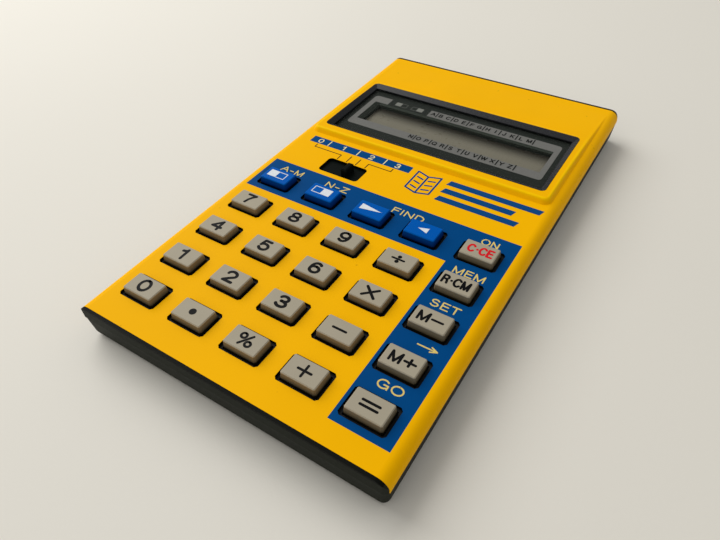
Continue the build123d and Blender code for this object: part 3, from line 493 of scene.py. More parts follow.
def board_laminate():
    """Green board with lighter copper tracks under its resist."""
    finish = Finish("board_laminate")
    step = finish.math("PINGPONG", finish.x + finish.noise(16.0, 1.0) * 9.0, 0.7)
    tracks = step.above(0.42, 0.04) * finish.noise(11.0, 1.0).above(0.42, 0.05)
    pads = finish.cells(3.4).below(0.16)
    body = finish.mix((0.015, 0.10, 0.03), (0.035, 0.20, 0.06), tracks)
    body = finish.mix(body, (0.62, 0.60, 0.55), pads)
    relief = finish.either(tracks * 0.6, pads)
    return finish.close(body, 0.32 + finish.noise(2.0) * 0.12, relief, 0.03)


def striped_rubber():
    """Connector strip of thin dark and light rubber leaves."""
    finish = Finish("striped_rubber")
    leaves = finish.math("PINGPONG", finish.x, 0.1).above(0.05, 0.01)
    body = finish.mix((0.02, 0.02, 0.02), (0.42, 0.16, 0.16), leaves)
    return finish.close(body, 0.52 + finish.noise(0.5) * 0.16, leaves, 0.01)


def chip_epoxy():
    """Moulded chip body with tinned leads at its foot."""
    finish = Finish("chip_epoxy")
    low = finish.z.below(LEAD_TOP, 0.03)
    body = finish.mix((0.018, 0.018, 0.02), (0.03, 0.03, 0.032), finish.noise(0.4, 3.0))
    chip = finish.mix(body, (0.55, 0.55, 0.54), low)
    finish.set(Metallic=low * 0.9)
    return finish.close(chip, 0.5 - low * 0.2, finish.noise(0.2), 0.008)


# Geometry


def arc_points(cx, cy, rx, ry, first, last, steps=None):
    """Points along an elliptic arc, about one every ten degrees where no number is given."""
    steps = steps or max(3, round(abs(last - first) / 10))
    turns = [math.radians(first + (last - first) * step / steps) for step in range(steps + 1)]
    return [(cx + rx * math.cos(turn), cy + ry * math.sin(turn)) for turn in turns]


def stroke_points(stroke):
    """Points of one stroke of a letter, its arcs worked out, on a body of height 1."""
    points = []
    for item in stroke.split():
        values = [float(value) for value in item.split(",")]
        lengths = [value / 100 for value in values[:4]]
        found = arc_points(*lengths, *values[4:]) if values[4:] else [tuple(lengths)]
        points += [p for p in found if not points or math.dist(points[-1], p) > 1e-6]
    return points


def lettering(signs, height, x, y, width=None, stretch=1.0, tracking=0.16):
    """Strokes and dots of a row of signs, centred on (x, y), in metres."""
    advance = sum(LETTERS[sign][0] / 100 for sign in signs) + tracking * (len(signs) - 1)
    squeeze = width / (advance * height) if width else stretch
    pen = -advance / 2
    strokes, dots = [], []

    def placed(px, py):
        return x + (pen + px) * height * squeeze, y + (py - 0.5) * height

    for sign in signs:
        wide, drawn = LETTERS[sign]
        for stroke in drawn.split(" / "):
            if stroke.startswith("dot,"):
                dots.append(placed(*[float(value) / 100 for value in stroke.split(",")[1:]]))
            else:
                strokes.append([placed(*point) for point in stroke_points(stroke)])
        pen += wide / 100 + tracking
    return strokes, dots


def sides(points, closed=False):
    """Each side of a path as a stroke of its own, so that its corners come out round."""
    ends = points[1:] + points[:1] if closed else points[1:]
    return [[first, second] for first, second in zip(points, ends)]


def scaled(points, x=0.0, y=0.0):
    """Points given in millimetres about a place, in metres."""
    return [(x + px * MM, y + py * MM) for px, py in points]


def stroke_tree():
    """Node tree that turns paths into flat strokes with round ends."""
    tree = bpy.data.node_groups.get("flat_strokes")
    if tree:
        return tree
    tree = bpy.data.node_groups.new("flat_strokes", "GeometryNodeTree")
    sockets = (("Paths", "Geometry"), ("Stroke Width", "Float"), ("Ink", "Material"))
    for name, kind in sockets:
        tree.interface.new_socket(name, in_out="INPUT", socket_type="NodeSocket" + kind)
    tree.interface.new_socket("Strokes", in_out="OUTPUT", socket_type="NodeSocketGeometry")

    def add(kind, links=(), values=(), **settings):
        made = tree.nodes.new(kind)
        for key, value in settings.items():
            setattr(made, key, value)
        for name, source in links:
            tree.links.new(source, made.inputs[name])
        for name, value in values:
            made.inputs[name].default_value = value
        return made.outputs[0] if made.outputs else made

    paths, width, ink_given = tree.nodes.new("NodeGroupInput").outputs[:3]
    half = add("ShaderNodeMath", [(0, width)], [(1, 0.5)], operation="MULTIPLY")
    minus = add("ShaderNodeMath", [(0, width)], [(1, -0.5)], operation="MULTIPLY")
    left = add("ShaderNodeCombineXYZ", [("X", minus)])
    right = add("ShaderNodeCombineXYZ", [("X", half)])
    profile = add("GeometryNodeCurvePrimitiveLine", [("Start", left), ("End", right)])
    curve = add("GeometryNodeMeshToCurve", [("Mesh", paths)])
    upright = add("GeometryNodeSetCurveNormal", [("Curve", curve)], mode="Z_UP")
    ribbons = add("GeometryNodeCurveToMesh", [("Curve", upright), ("Profile Curve", profile)])
    ends = add("GeometryNodeCurveEndpointSelection")
    vertices = [("Vertices", CAP_SIDES)]
    cap = add("GeometryNodeMeshCircle", [("Radius", half)], vertices, fill_type="NGON")
    lift = (0.0, 0.0, OVERLAP / 2)
    raised = add("GeometryNodeTransform", [("Geometry", cap)], [("Translation", lift)])
    links = [("Points", upright), ("Selection", ends), ("Instance", raised)]
    caps = add("GeometryNodeInstanceOnPoints", links)
    both = add("GeometryNodeJoinGeometry", [(0, ribbons), (0, caps)])
    real = add("GeometryNodeRealizeInstances", [(0, both)])
    coat = add("GeometryNodeSetMaterial", [("Geometry", real), ("Material", ink_given)])
    add("NodeGroupOutput", [(0, coat)])
    return tree


@contextmanager
def edited(mesh):
    """Opens a mesh for editing, and writes it back."""
    work = bmesh.new()
    work.from_mesh(mesh)
    yield work
    work.to_mesh(mesh)
    work.free()


def face_up(mesh):
    """Turns every face of a flat piece upwards."""
    with edited(mesh) as work:
        work.normal_update()
        bmesh.ops.reverse_faces(work, faces=[face for face in work.faces if face.normal.z < 0])
    return mesh


def place(name, data):
    """Links a new object into the scene."""
    made = bpy.data.objects.new(name, data)
    bpy.context.scene.collection.objects.link(made)
    return made


def new_piece(name, mesh, body="case"):
    """Puts a finished mesh into the scene, riding on a body."""
    piece = place(name, mesh)
    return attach(piece, body)


def baked(host):
    """Flat mesh that an object makes, its modifiers worked in; the object itself goes."""
    bpy.context.view_layer.update()
    graph = bpy.context.evaluated_depsgraph_get()
    mesh = bpy.data.meshes.new_from_object(host.evaluated_get(graph))
    host.modifiers.clear()
    bpy.data.objects.remove(host)
    return mesh


def stroke_mesh(name, strokes, width, material, z):
    """Flat strokes along paths at one height, as a plain mesh."""
    points, edges = [], []
    for number, stroke in enumerate(strokes):
        closed = math.dist(stroke[0], stroke[-1]) < 1e-7
        path = stroke[:-1] if closed else stroke
        first, count = len(points), len(path)
        level = z + number % STROKE_LEVELS * OVERLAP
        points += [(x, y, level) for x, y in path]
        steps = range(count if closed else count - 1)
        edges += [(first + step, first + (step + 1) % count) for step in steps]
    mesh = bpy.data.meshes.new(name)
    mesh.from_pydata(points, edges, [])
    host = place(name + "_host", mesh)
    modifier = host.modifiers.new("strokes", "NODES")
    modifier.node_group = stroke_tree()
    for item in modifier.node_group.interface.items_tree:
        if item.name in ("Stroke Width", "Ink"):
            modifier[item.identifier] = width if item.name == "Stroke Width" else material
    return face_up(baked(host))


def print_strokes(name, *look):
    """Prints strokes on the case as a piece of their own."""
    new_piece(name, stroke_mesh(name, *look))


def add_polygons(mesh, polygons, z, material):
    """Adds flat filled polygons to a mesh, just over strokes laid at the same height."""
    z += STROKE_LEVELS * OVERLAP
    if material.name not in mesh.materials:
        mesh.materials.append(material)
    with edited(mesh) as work:
        for polygon in polygons:
            face = work.faces.new([work.verts.new((x, y, z)) for x, y in polygon])
            face.material_index = mesh.materials.find(material.name)
    return face_up(mesh)


def print_on_key(key, name, strokes, polygons, width, material):
    """Prints strokes and filled shapes on top of a key."""
    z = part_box(key)[1].z + sizes().ink
    mesh = bpy.data.meshes.new(name)
    if strokes:
        mesh = stroke_mesh(name, strokes, width, material, z)
    new_piece(name, add_polygons(mesh, polygons, z, material), key)


def disc(x, y, radius, steps=20):
    """Outline of a small dot."""
    return arc_points(x, y, radius, radius, 0, 360, steps)[:-1]


def rounded_outline(x0, x1, y0, y1, radius, steps=6):
    """Outline of a rectangle with rounded corners, counter-clockwise."""
    left, right, front, rear = x0 + radius, x1 - radius, y0 + radius, y1 - radius
    corners = ((right, rear), (left, rear), (left, front), (right, front))
    points = []
    for number, corner in enumerate(corners):
        turn = 90 * number
        points += arc_points(*corner, radius, radius, turn, turn + 90, steps)
    return points


def flat_sheet(name, outlines, z, material):
    """Flat print: the first outline filled, less the outlines inside it."""
    curve = bpy.data.curves.new(name, "CURVE")
    curve.dimensions = "2D"
    curve.fill_mode = "BOTH"
    for outline in outlines:
        spline = curve.splines.new("POLY")
        spline.points.add(len(outline) - 1)
        for point, (x, y) in zip(spline.points, outline):
            point.co = (x, y, 0.0, 1.0)
        spline.use_cyclic_u = True
    mesh = baked(place(name + "_host", curve))
    mesh.transform(Matrix.Translation((0.0, 0.0, z)))
    mesh.materials.clear()
    mesh.materials.append(material)
    return face_up(mesh)


def dress(material, *nodes):
    """Gives carried CAD pieces one finish."""
    for node in nodes:
        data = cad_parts[node].data
        data.materials.clear()
        data.materials.append(material)


def centre(node):
    """Middle of a CAD piece in plan."""
    low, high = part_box(node)
    return (low.x + high.x) / 2, (low.y + high.y) / 2


# Operators


class DICTIONARY_OT_finish_sheet(bpy.types.Operator):
    """Enamel and printed fields of the front sheet"""

    bl_idname = "dictionary.finish_sheet"
    bl_label = "Finish Front Sheet"

    def execute(self, context):
        dress(sheet_enamel(), "top_panel")
        return {"FINISHED"}


class DICTIONARY_OT_finish_case(bpy.types.Operator):
    """Grained plastics of the case, chassis, bezel, cover and knob"""

    bl_idname = "dictionary.finish_case"
    bl_label = "Finish Case"

    lip = PLATE - 0.6

    def execute(self, context):
        case = (colours().case, 0.28, 0.018, 0.52, 0.10, 0.05, self.lip)
        bezel = (colours().bezel, 0.2, 0.004, 0.26, 0.05, 0.14)
        knob = (linear(15, 20, 18), 0.2, 0.006, 0.32, 0.05, 0.02)
        dress(grained_plastic("case_plastic", *case), "lower_case", "battery_cover")
        dress(chassis_plastic(), "inner_chassis")
        dress(grained_plastic("bezel_plastic", *bezel), "display_bezel")
        dress(grained_plastic("knob_plastic", *knob), "switch_knob")
        return {"FINISHED"}


class DICTIONARY_OT_finish_keys(bpy.types.Operator):
    """Grey and blue keycaps"""

    bl_idname = "dictionary.finish_keys"
    bl_label = "Finish Keys"

    def execute(self, context):
        # Colours of the painted shade on the key walls; the grey keys' shade is tinted yellow as a
        # painted reflection of the sheet.
        grey_wall_shade, blue_wall_shade = linear(98, 84, 54), linear(0, 44, 118)
        grey = key_plastic("key_plastic_grey", colours().key_grey, grey_wall_shade, 0.46, 0.12)
        blue = key_plastic("key_plastic_blue", colours().key_blue, blue_wall_shade, 0.30, 0.02)
        for key in KEYS:
            dress(blue if key in BLUE_KEYS else grey, key)
        return {"FINISHED"}


class DICTIONARY_OT_print_key_legends(bpy.types.Operator):
    """Digits, signs and words printed on the grey keys"""

    bl_idname = "dictionary.print_key_legends"
    bl_label = "Print Key Legends"

    # Signs, shift to the right and width of each word, in millimetres.
    words = {
        "key_clear": (("C", "point", "C", "E"), 0.15, 5.5),
        "key_recall": (("R", "point", "C", "M"), -0.2, 5.85),
        "key_memory_minus": (("M", "minus"), -0.1, 5.3),
        "key_memory_plus": (("M", "plus"), 0.15, 5.3),
    }
    # Height and width of each sign, in millimetres.
    signs = {
        "divide": (2.5, 3.0), "multiply": (3.4, 3.3), "minus": (3.0, 3.3),
        "plus": (3.3, 3.3), "equals": (3.4, 3.9), "percent": (2.6, 3.5),
    }
    word_dot, sign_dot, point_dot = 0.28 * MM, 0.46 * MM, 0.78 * MM
    cross_stroke = 0.62 * MM
    digit_rise, digit_stretch = 0.1 * MM, 1.42

    def execute(self, context):
        dark = ink("legend_dark", colours().dark_ink)
        red = ink("legend_red", colours().red_ink)
        for key in KEYS:
            if key not in BLUE_KEYS:
                self.legend(key, red if key == "key_clear" else dark)
        return {"FINISHED"}

    def legend(self, key, material):
        """Prints one key's legend."""
        sign = key.removeprefix("key_")
        x, y = centre(key)
        dot, stroke = self.sign_dot, sizes().stroke
        if key in self.words:
            signs, shift, width = self.words[key]
            strokes, dots = lettering(signs, sizes().word_height, x + shift * MM, y, width * MM)
            dot = self.word_dot
        elif sign == "point":
            strokes, dots = [], [(x, y)]
            dot = self.point_dot
        elif sign.isdigit():
            height, middle = sizes().digit_height, y + self.digit_rise
            strokes, dots = lettering(sign, height, x, middle, stretch=self.digit_stretch)
            stroke = sizes().digit_stroke
        else:
            height, width = self.signs[sign]
            strokes, dots = lettering((sign,), height * MM, x, y, width * MM)
            stroke = self.cross_stroke if sign == "multiply" else stroke
        discs = [disc(*middle, dot) for middle in dots]
        print_on_key(key, "legend_" + sign, strokes, discs, stroke, material)


class DICTIONARY_OT_print_key_signs(bpy.types.Operator):
    """White signs printed on the blue keys"""

    bl_idname = "dictionary.print_key_signs"
    bl_label = "Print Key Signs"

    outline = [(-2.7, -0.9), (2.1, -0.9), (2.1, 1.25), (-2.7, 1.25)]
    outline_width = 0.22 * MM
    left_half = [(-2.81, -1.01), (-0.3, -1.01), (-0.3, 1.36), (-2.81, 1.36)]
    half_width = 2.51
    long_wedge = [(-2.8, 1.2), (-2.8, -0.75), (2.7, 0.25)]
    short_wedge = [(-1.3, 0.0), (1.2, -0.85), (1.2, 0.85)]

    def execute(self, context):
        white = ink("sign_white", colours().white_ink)
        right_half = [(px + self.half_width, py) for px, py in self.left_half]
        filled = (self.left_half, right_half, self.long_wedge, self.short_wedge)
        for key, shape in zip(BLUE_KEYS, filled):
            middle = centre(key)
            name = key.replace("key_", "sign_")
            outlined = key.startswith("key_set")
            lines = sides(scaled(self.outline, *middle), closed=True) if outlined else []
            polygons = [scaled(shape, *middle)]
            print_on_key(key, name, lines, polygons, self.outline_width, white)
        return {"FINISHED"}


class DICTIONARY_OT_print_panel_legends(bpy.types.Operator):
    """Small yellow legends on the blue field, and the open book and stripes beside the switch"""

    bl_idname = "dictionary.print_panel_legends"
    bl_label = "Print Panel Legends"

    # Signs of each legend, its middle and its width, in millimetres.
    rows = (
        ("A-M", -26.4, -5.0, 6.4),
        ("N-Z", -12.8, -5.0, 6.4),
        ("FIND", 7.3, -5.4, 8.2),
        ("ON", 27.5, -5.15, 3.9),
        ("MEM", 27.5, -16.05, 7.0),
        ("SET", 27.3, -26.5, 6.2),
        (("arrow",), 29.1, -37.15, 4.5),
        ("GO", 27.6, -48.1, 5.2),
    )
    # Slanted stripes in millimetres: lengths, left ends, place of the first, pitch and height.
    stripe_lengths = (23.5, 18.0, 20.0)
    stripe_left, stripe_lean = 9.6, 10.2
    stripe_y, stripe_pitch, stripe_height = 9.3, 3.3, 1.9
    # One page of the book in millimetres from its spine: outline, and the lines of print.
    page = [(0.0, -3.9), (3.2, -2.9), (3.2, 4.3), (0.0, 3.3)]
    page_lines = [[(0.8, level), (2.4, level + 0.5)] for level in (1.7, -0.2, -2.1)]
    book_place = (4.5 * MM, 6.6 * MM)
    book_stroke = 0.5 * MM

    def execute(self, context):
        z = PLATE_TOP + sizes().ink
        yellow = ink("print_yellow", colours().yellow_ink)
        strokes = []
        for signs, x, y, width in self.rows:
            strokes += lettering(signs, sizes().small_height, x * MM, y * MM, width * MM)[0]
        print_strokes("field_legends", strokes, sizes().fine_stroke, yellow, z)

        blue = ink("print_blue", colours().field)
        bars = [scaled(self.stripe(*row)) for row in enumerate(self.stripe_lengths)]
        stripes = add_polygons(bpy.data.meshes.new("field_stripes"), bars, z, blue)
        new_piece("field_stripes", stripes)
        book = [scaled(line, *self.book_place) for line in self.book()]
        print_strokes("field_book", book, self.book_stroke, blue, z)
        return {"FINISHED"}

    def stripe(self, row, length):
        """Corners of one slanted stripe."""
        low = self.stripe_y - row * self.stripe_pitch
        high = low + self.stripe_height
        left, lean = self.stripe_left, self.stripe_lean
        return [(left, low), (left + length, low), (lean + length, high), (lean, high)]

    def book(self):
        """Strokes of a plain open book: its spine, then both pages."""
        right = sides(self.page) + self.page_lines
        left = [[(-px, py) for px, py in line] for line in right]
        return [[self.page[0], self.page[-1]]] + right + left


class DICTIONARY_OT_print_switch_scale(bpy.types.Operator):
    """Numbers of the switch positions, their dividers and the leader lines to the switch"""

    bl_idname = "dictionary.print_switch_scale"
    bl_label = "Print Switch Scale"

    cells = (("0", -28.2), ("1", -20.8), ("2", -12.2), ("3", -4.4))
    number_height, number_y, number_stretch = 1.6, 10.2, 1.3
    dividers = (-25.4, -16.3, -8.1)
    divider_ends = (9.1, 11.35)
    scale_stroke, leader_stroke = 0.30, 0.27
    leaders = (
        [(-28.2, 8.4), (-28.2, 7.2), (-19.7, 7.2), (-19.7, 5.3)],
        [(-16.9, 7.9), (-16.9, 5.3)],
        [(-14.1, 7.9), (-14.1, 5.3)],
        [(-11.3, 5.3), (-11.3, 7.2), (-4.8, 7.2), (-4.8, 8.4)],
    )

    def execute(self, context):
        z = PLATE_TOP + sizes().ink
        pale = ink("scale_pale", linear(236, 226, 176))
        height, y = self.number_height * MM, self.number_y * MM
        strokes = []
        for sign, x in self.cells:
            strokes += lettering(sign, height, x * MM, y, stretch=self.number_stretch)[0]
        strokes += [scaled([(x, end) for end in self.divider_ends]) for x in self.dividers]
        print_strokes("scale_numbers", strokes, self.scale_stroke * MM, pale, z)

        line = ink("scale_line", linear(72, 50, 8))
        paths = [side for leader in self.leaders for side in sides(scaled(leader))]
        print_strokes("scale_leaders", paths, self.leader_stroke * MM, line, z)
        return {"FINISHED"}


class DICTIONARY_OT_print_window(bpy.types.Operator):
    """Mask, grey ring, index letters and signs printed behind the window"""

    bl_idname = "dictionary.print_window"
    bl_label = "Print Window"

    # Left, right, front and rear edges of the clear area and of the ring, and the ring's gap.
    clear = (-27.0, 27.1, 26.1, 36.5)
    ring = (-28.6, 28.5, 23.0, 39.8)
    notch = (-23.0, -10.1)
    clear_corner, ring_corner, mask_corner = 0.4, 1.0, 0.5
    # The mask's margin in the pane, its height over the pane's foot, and inks from layer to layer.
    mask_inset, mask_lift, layer_inks = 0.1 * MM, 0.03 * MM, 3
    # Index: dividers, half their height, the letters' places and the rows of letters.
    dividers = [-7.6 + 4.77 * step for step in range(7)]
    divider_half, letter_side, pair_half, first_letter = 1.15, 1.15, 2.385, -8.75
    rows = ((38.25, "ABCDEFGHIJKLM"), (24.85, "NOPQRSTUVWXYZ"))
    letter_height, letter_stretch, letter_stroke = 1.35 * MM, 1.15, 0.30 * MM
    # Set signs: outline and filled half of a box, and its two places.
    sign_box = [(-1.8, -0.85), (1.8, -0.85), (1.8, 0.85), (-1.8, 0.85)]
    sign_half = [(0.0, -0.9), (1.85, -0.9), (1.85, 0.9), (0.0, 0.9)]
    sign_places = ((-19.15, -1), (-14.0, 1))
    sign_y, sign_stroke = 38.2 * MM, 0.16 * MM

    def execute(self, context):
        low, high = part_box("display_window")
        self.floor = low.z + self.mask_lift
        inset = self.mask_inset
        plan = (low.x + inset, high.x - inset, low.y + inset, high.y - inset)
        edge = rounded_outline(*plan, self.mask_corner * MM)
        opening = scaled(rounded_outline(*self.clear, self.clear_corner))
        looks = (("window_mask", colours().mask, 0.35), ("window_ring", colours().ring, 0.45))
        for number, outlines in enumerate(([edge, opening], [self.ring_outline()])):
            name = looks[number][0]
            new_piece(name, flat_sheet(name, outlines, self.layer(number), ink(*looks[number])))
        self.index()
        self.set_signs()
        return {"FINISHED"}

    def layer(self, number):
        """Height of one printed layer in the foot of the pane; later layers lie over it."""
        return self.floor + number * self.layer_inks * sizes().ink

    def ring_outline(self):
        """Outline of the ring: round the clear area, open where the set signs are printed."""
        left, right = self.notch
        x0, x1, y0, y1 = self.clear
        rear = self.ring[3]
        outer = rounded_outline(*self.ring, self.ring_corner)
        corner = len(outer) // 4
        inner = [(right, rear), (right, y1), (x1, y1), (x1, y0)]
        inner += [(x0, y0), (x0, y1), (left, y1), (left, rear)]
        return scaled(outer[corner:] + outer[:corner] + inner)

    def index(self):
        """Letters in two rows, in pairs between short dividers."""
        aside = [side * self.letter_side for side in (-1, 1)]
        places = [self.first_letter]
        places += [x + side + self.pair_half for x in self.dividers[:-1] for side in aside]
        height, stretch = self.letter_height, self.letter_stretch
        strokes = []
        for y, letters in self.rows:
            for letter, x in zip(letters, places):
                strokes += lettering(letter, height, x * MM, y * MM, stretch=stretch)[0]
            ends = (y - self.divider_half, y + self.divider_half)
            strokes += [scaled([(x, end) for end in ends]) for x in self.dividers]
        dark = ink("index_ink", linear(12, 13, 12))
        print_strokes("window_index", strokes, self.letter_stroke, dark, self.layer(2))

    def set_signs(self):
        """Two small boxes, each with one half filled."""
        pale = ink("window_sign", linear(132, 133, 128))
        lines, halves = [], []
        for x, way in self.sign_places:
            lines += sides(scaled(self.sign_box, x * MM, self.sign_y), closed=True)
            half = [(way * px, py) for px, py in self.sign_half]
            halves.append(scaled(half, x * MM, self.sign_y))
        dim = ink("window_sign_line", linear(100, 102, 98))
        print_strokes("window_sign_lines", lines, self.sign_stroke, dim, self.layer(1))
        mesh = add_polygons(bpy.data.meshes.new("window_signs"), halves, self.layer(2), pale)
        new_piece("window_signs", mesh)


class DICTIONARY_OT_finish_display(bpy.types.Operator):
    """Window pane and the layers of the liquid crystal cell"""

    bl_idname = "dictionary.finish_display"
    bl_label = "Finish Display"

    def execute(self, context):
        dress(window_pane(), "display_window")
        dress(crystal_field(), "cell_front_film")
        dress(cell_glass(), "cell_front_glass", "cell_rear_glass")
        dress(metal("reflector_foil", (0.55, 0.56, 0.52), 0.35), "cell_reflector")
        pale = linear(214, 212, 204)
        dress(grained_plastic("frame_plastic", pale, 0.5, 0.01, 0.5), "cell_frame")
        dress(striped_rubber(), "connector_strip_front", "connector_strip_rear")
        return {"FINISHED"}


class DICTIONARY_OT_finish_inside(bpy.types.Operator):
    """Board, chips, cans, contacts, cells and screws"""

    bl_idname = "dictionary.finish_inside"
    bl_label = "Finish Inside"

    def execute(self, context):
        dress(board_laminate(), "main_board")
        dress(chip_epoxy(), "processor_chip", "memory_chip_left", "memory_chip_right")
        can = metal("drawn_can", (0.72, 0.72, 0.71), 0.28, (6.0, 6.0, 1.0))
        dress(can, "timing_crystal", "capacitor_left", "capacitor_right")
        brass = metal("contact_brass", (0.80, 0.58, 0.24), 0.30)
        springs = ("battery_spring_left", "battery_spring_right")
        dress(brass, "switch_tracks", "switch_wiper", *springs)
        steel = metal("cell_steel", (0.66, 0.66, 0.64), 0.26, (1.0, 1.0, 8.0))
        dress(steel, "battery_cell_left", "battery_cell_right", "battery_link")
        dress(metal("screw_steel", (0.30, 0.30, 0.31), 0.34), "case_screws", "board_screws")
        return {"FINISHED"}


class DICTIONARY_OT_mould_key_mat(bpy.types.Operator):
    """Rubber sheet under the keys, with a dome for each"""

    bl_idname = "dictionary.mould_key_mat"
    bl_label = "Mould Key Mat"

    # Levels of the sheet's underside, its top and the domes' tops, and a key's travel, all in
    # millimetres.
    foot, web, roof = 3.4, 3.9, 5.5
    travel = 1.0
    # Left, right, front and rear edge of the sheet.
    sheet = (-30.7, 30.7, -56.9, -6.2)
    # Radius, in metres, of its corners, of the holes for domes and of those for screws.
    corner, dome_hole, screw_hole = 1.2 * MM, 2.92 * MM, 1.62 * MM
    dome_sides, screw_sides = 24, 16
    screws = [(side * 20.25, y) for side in (-1, 1) for y in (-15.4, -48.4)]
    weld = 0.001 * MM
    # Radius and height along the outside and inside of a dome, and round a pill.
    outer = (
        (0.0, 5.5), (1.5, 5.5), (1.75, 5.46), (1.9, 5.3), (2.05, 4.9),
        (2.35, 4.35), (2.66, 3.95), (2.9, 3.75), (2.9, 3.4),
    )
    inner = ((2.35, 3.4), (2.25, 3.7), (1.95, 4.2), (1.6, 4.46), (1.3, 4.5), (0.0, 4.5))
    pill = ((0.0, 4.5), (1.0, 4.5), (1.05, 4.46), (1.05, 4.24), (1.0, 4.2), (0.0, 4.2))

    def execute(self, context):
        rubber = grained_plastic("mat_rubber", linear(176, 172, 162), 0.4, 0.012, 0.7)
        carbon = grained_plastic("pill_carbon", linear(26, 26, 27), 0.2, 0.01, 0.75)
        centres = [centre(key) for key in KEYS]
        web = new_piece("mat_web", self.web_mesh(centres, rubber))
        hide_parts("key_mat", "key_pills")
        for key, (x, y) in zip(KEYS, centres):
            mesh = bpy.data.meshes.new("mat_dome_" + key)
            mesh.materials.append(rubber)
            mesh.materials.append(carbon)
            with edited(mesh) as work:
                self.turned(work, self.outer + self.inner, x, y, 0)
                self.turned(work, self.pill, x, y, 1)
                bmesh.ops.recalc_face_normals(work, faces=work.faces)
            dome = new_piece(mesh.name, mesh)
            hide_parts("key_mat", "key_pills")
            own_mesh(dome)
        return {"FINISHED"}

    def web_mesh(self, centres, material):
        """Sheet round the domes, with its holes for them and for the board's screws."""
        outlines = [rounded_outline(*[side * MM for side in self.sheet], self.corner)]
        outlines += [disc(x, y, self.dome_hole, self.dome_sides) for x, y in centres]
        holes = scaled(self.screws)
        outlines += [disc(x, y, self.screw_hole, self.screw_sides) for x, y in holes]
        mesh = flat_sheet("mat_web", outlines, self.web * MM, material)
        with edited(mesh) as work:
            bmesh.ops.remove_doubles(work, verts=work.verts, dist=self.weld)
        host = place("mat_web_host", mesh)
        host.modifiers.new("sheet", "SOLIDIFY").thickness = (self.web - self.foot) * MM
        return baked(host)

    def turned(self, work, profile, x, y, slot):
        """Closed body turned about an upright axis from a profile of radius and height."""
        rings, steps = [], self.dome_sides
        for radius, z in profile:
            ring = disc(x, y, radius * MM, steps) if radius else [(x, y)]
            rings.append([work.verts.new((*point, z * MM)) for point in ring])
        for first, second in zip(rings, rings[1:]):
            for step in range(steps):
                after = (step + 1) % steps
                corners = [first[step % len(first)], second[step % len(second)]]
                corners += [second[after % len(second)], first[after % len(first)]]
                face = work.faces.new(list(dict.fromkeys(corners)))
                face.material_index = slot
                face.smooth = slot == 0


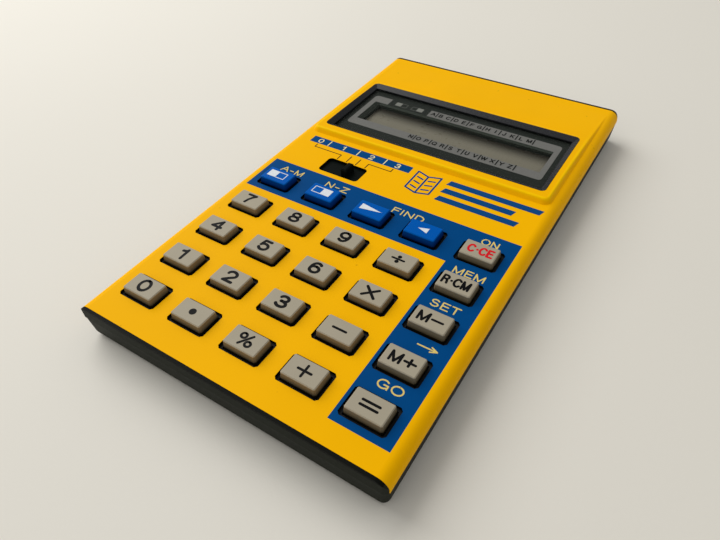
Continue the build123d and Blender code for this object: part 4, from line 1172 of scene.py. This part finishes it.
class DICTIONARY_OT_build_studio(bpy.types.Operator):
    """Floor, lamps, even sky and the camera"""

    bl_idname = "dictionary.build_studio"
    bl_label = "Build Studio"

    # Place, side and colour of each lamp; both point at the middle of the case.
    key_lamp = ((-0.60, 0.16, 0.60), 0.72, (1.0, 0.985, 0.96))
    fill_lamp = ((-0.35, -0.60, 0.50), 0.7, (1.0, 0.99, 0.97))
    sky_colour = (1.0, 0.985, 0.955, 1.0)
    # The camera's directions to its right, up and back, and its place.
    right = (0.84308, 0.53683, -0.03216)
    up = (-0.35922, 0.60664, 0.70919)
    back = (0.40023, -0.58635, 0.70428)
    stand = (0.05644, -0.09814, 0.09527)

    def execute(self, context):
        settings = context.scene.dictionary_studio
        self.floor(settings)
        self.lamp("key_lamp", settings.key_power, *self.key_lamp)
        self.lamp("fill_lamp", settings.fill_power, *self.fill_lamp)
        self.sky(settings)
        self.camera(settings)
        context.scene.view_settings.view_transform = "Standard"
        return {"FINISHED"}

    def floor(self, settings):
        """Large pale floor that the case lies on."""
        finish = Finish("floor_paper")
        paper = finish.shades(settings.floor, 0.975, 1.02, finish.noise(140.0))
        reach = FLOOR_REACH
        corners = [(-reach, -reach), (reach, -reach), (reach, reach), (-reach, reach)]
        mesh = bpy.data.meshes.new("floor")
        mesh.from_pydata([(x, y, FLOOR) for x, y in corners], [], [(0, 1, 2, 3)])
        mesh.materials.append(finish.close(paper, 0.75, finish.noise(0.8, 3.0), 0.02))
        floor = place("floor", mesh)

    def lamp(self, name, power, where, side, colour):
        """Square soft lamp aimed at the middle of the case."""
        data = bpy.data.lights.new(name, "AREA")
        data.size = side
        data.energy = power
        data.color = colour
        lamp = place(name, data)
        lamp.location = where
        lamp.rotation_euler = (-Vector(where)).to_track_quat("-Z", "Y").to_euler()

    def sky(self, settings):
        """Even pale light from all round."""
        world = bpy.data.worlds.new("sky")
        world.use_nodes = True
        background = world.node_tree.nodes["Background"]
        background.inputs["Color"].default_value = self.sky_colour
        background.inputs["Strength"].default_value = settings.sky
        bpy.context.scene.world = world

    def camera(self, settings):
        """Camera above the front right corner."""
        data = bpy.data.cameras.new("camera")
        data.lens = settings.lens
        data.sensor_width = 36.0
        data.sensor_fit = "HORIZONTAL"
        data.clip_start = 0.005
        rows = list(zip(self.right, self.up, self.back, self.stand))
        camera = place("camera", data)
        camera.matrix_world = Matrix(rows + [(0.0, 0.0, 0.0, 1.0)])
        bpy.context.scene.camera = camera


OPERATORS = (
    DICTIONARY_OT_finish_sheet,
    DICTIONARY_OT_finish_case,
    DICTIONARY_OT_finish_keys,
    DICTIONARY_OT_print_key_legends,
    DICTIONARY_OT_print_key_signs,
    DICTIONARY_OT_print_panel_legends,
    DICTIONARY_OT_print_switch_scale,
    DICTIONARY_OT_print_window,
    DICTIONARY_OT_finish_display,
    DICTIONARY_OT_finish_inside,
    DICTIONARY_OT_mould_key_mat,
    DICTIONARY_OT_build_studio,
)


class DICTIONARY_PT_panel(bpy.types.Panel):
    """Lists the pieces of the dictionary and their settings"""

    bl_idname = "DICTIONARY_PT_panel"
    bl_label = "Pocket Dictionary"
    bl_space_type = "VIEW_3D"
    bl_region_type = "UI"
    bl_category = "Dictionary"

    def draw(self, context):
        for operator in OPERATORS:
            self.layout.operator(operator.bl_idname)
        for group in SETTINGS:
            settings = getattr(context.scene, group)
            box = self.layout.box()
            for name in settings.__annotations__:
                box.prop(settings, name)


SETTINGS = {
    "dictionary_colours": FinishColours,
    "dictionary_legends": LegendSizes,
    "dictionary_studio": StudioSettings,
}
CLASSES = (*SETTINGS.values(), *OPERATORS, DICTIONARY_PT_panel)


def register():
    for cls in CLASSES:
        bpy.utils.register_class(cls)
    for name, group in SETTINGS.items():
        setattr(bpy.types.Scene, name, bpy.props.PointerProperty(type=group))


def unregister():
    for name in SETTINGS:
        delattr(bpy.types.Scene, name)
    for cls in reversed(CLASSES):
        bpy.utils.unregister_class(cls)


def main():
    """Builds everything in order."""
    register()
    for operator in OPERATORS:
        group, name = operator.bl_idname.split(".")
        getattr(getattr(bpy.ops, group), name)()


if __name__ == "__main__":
    main()
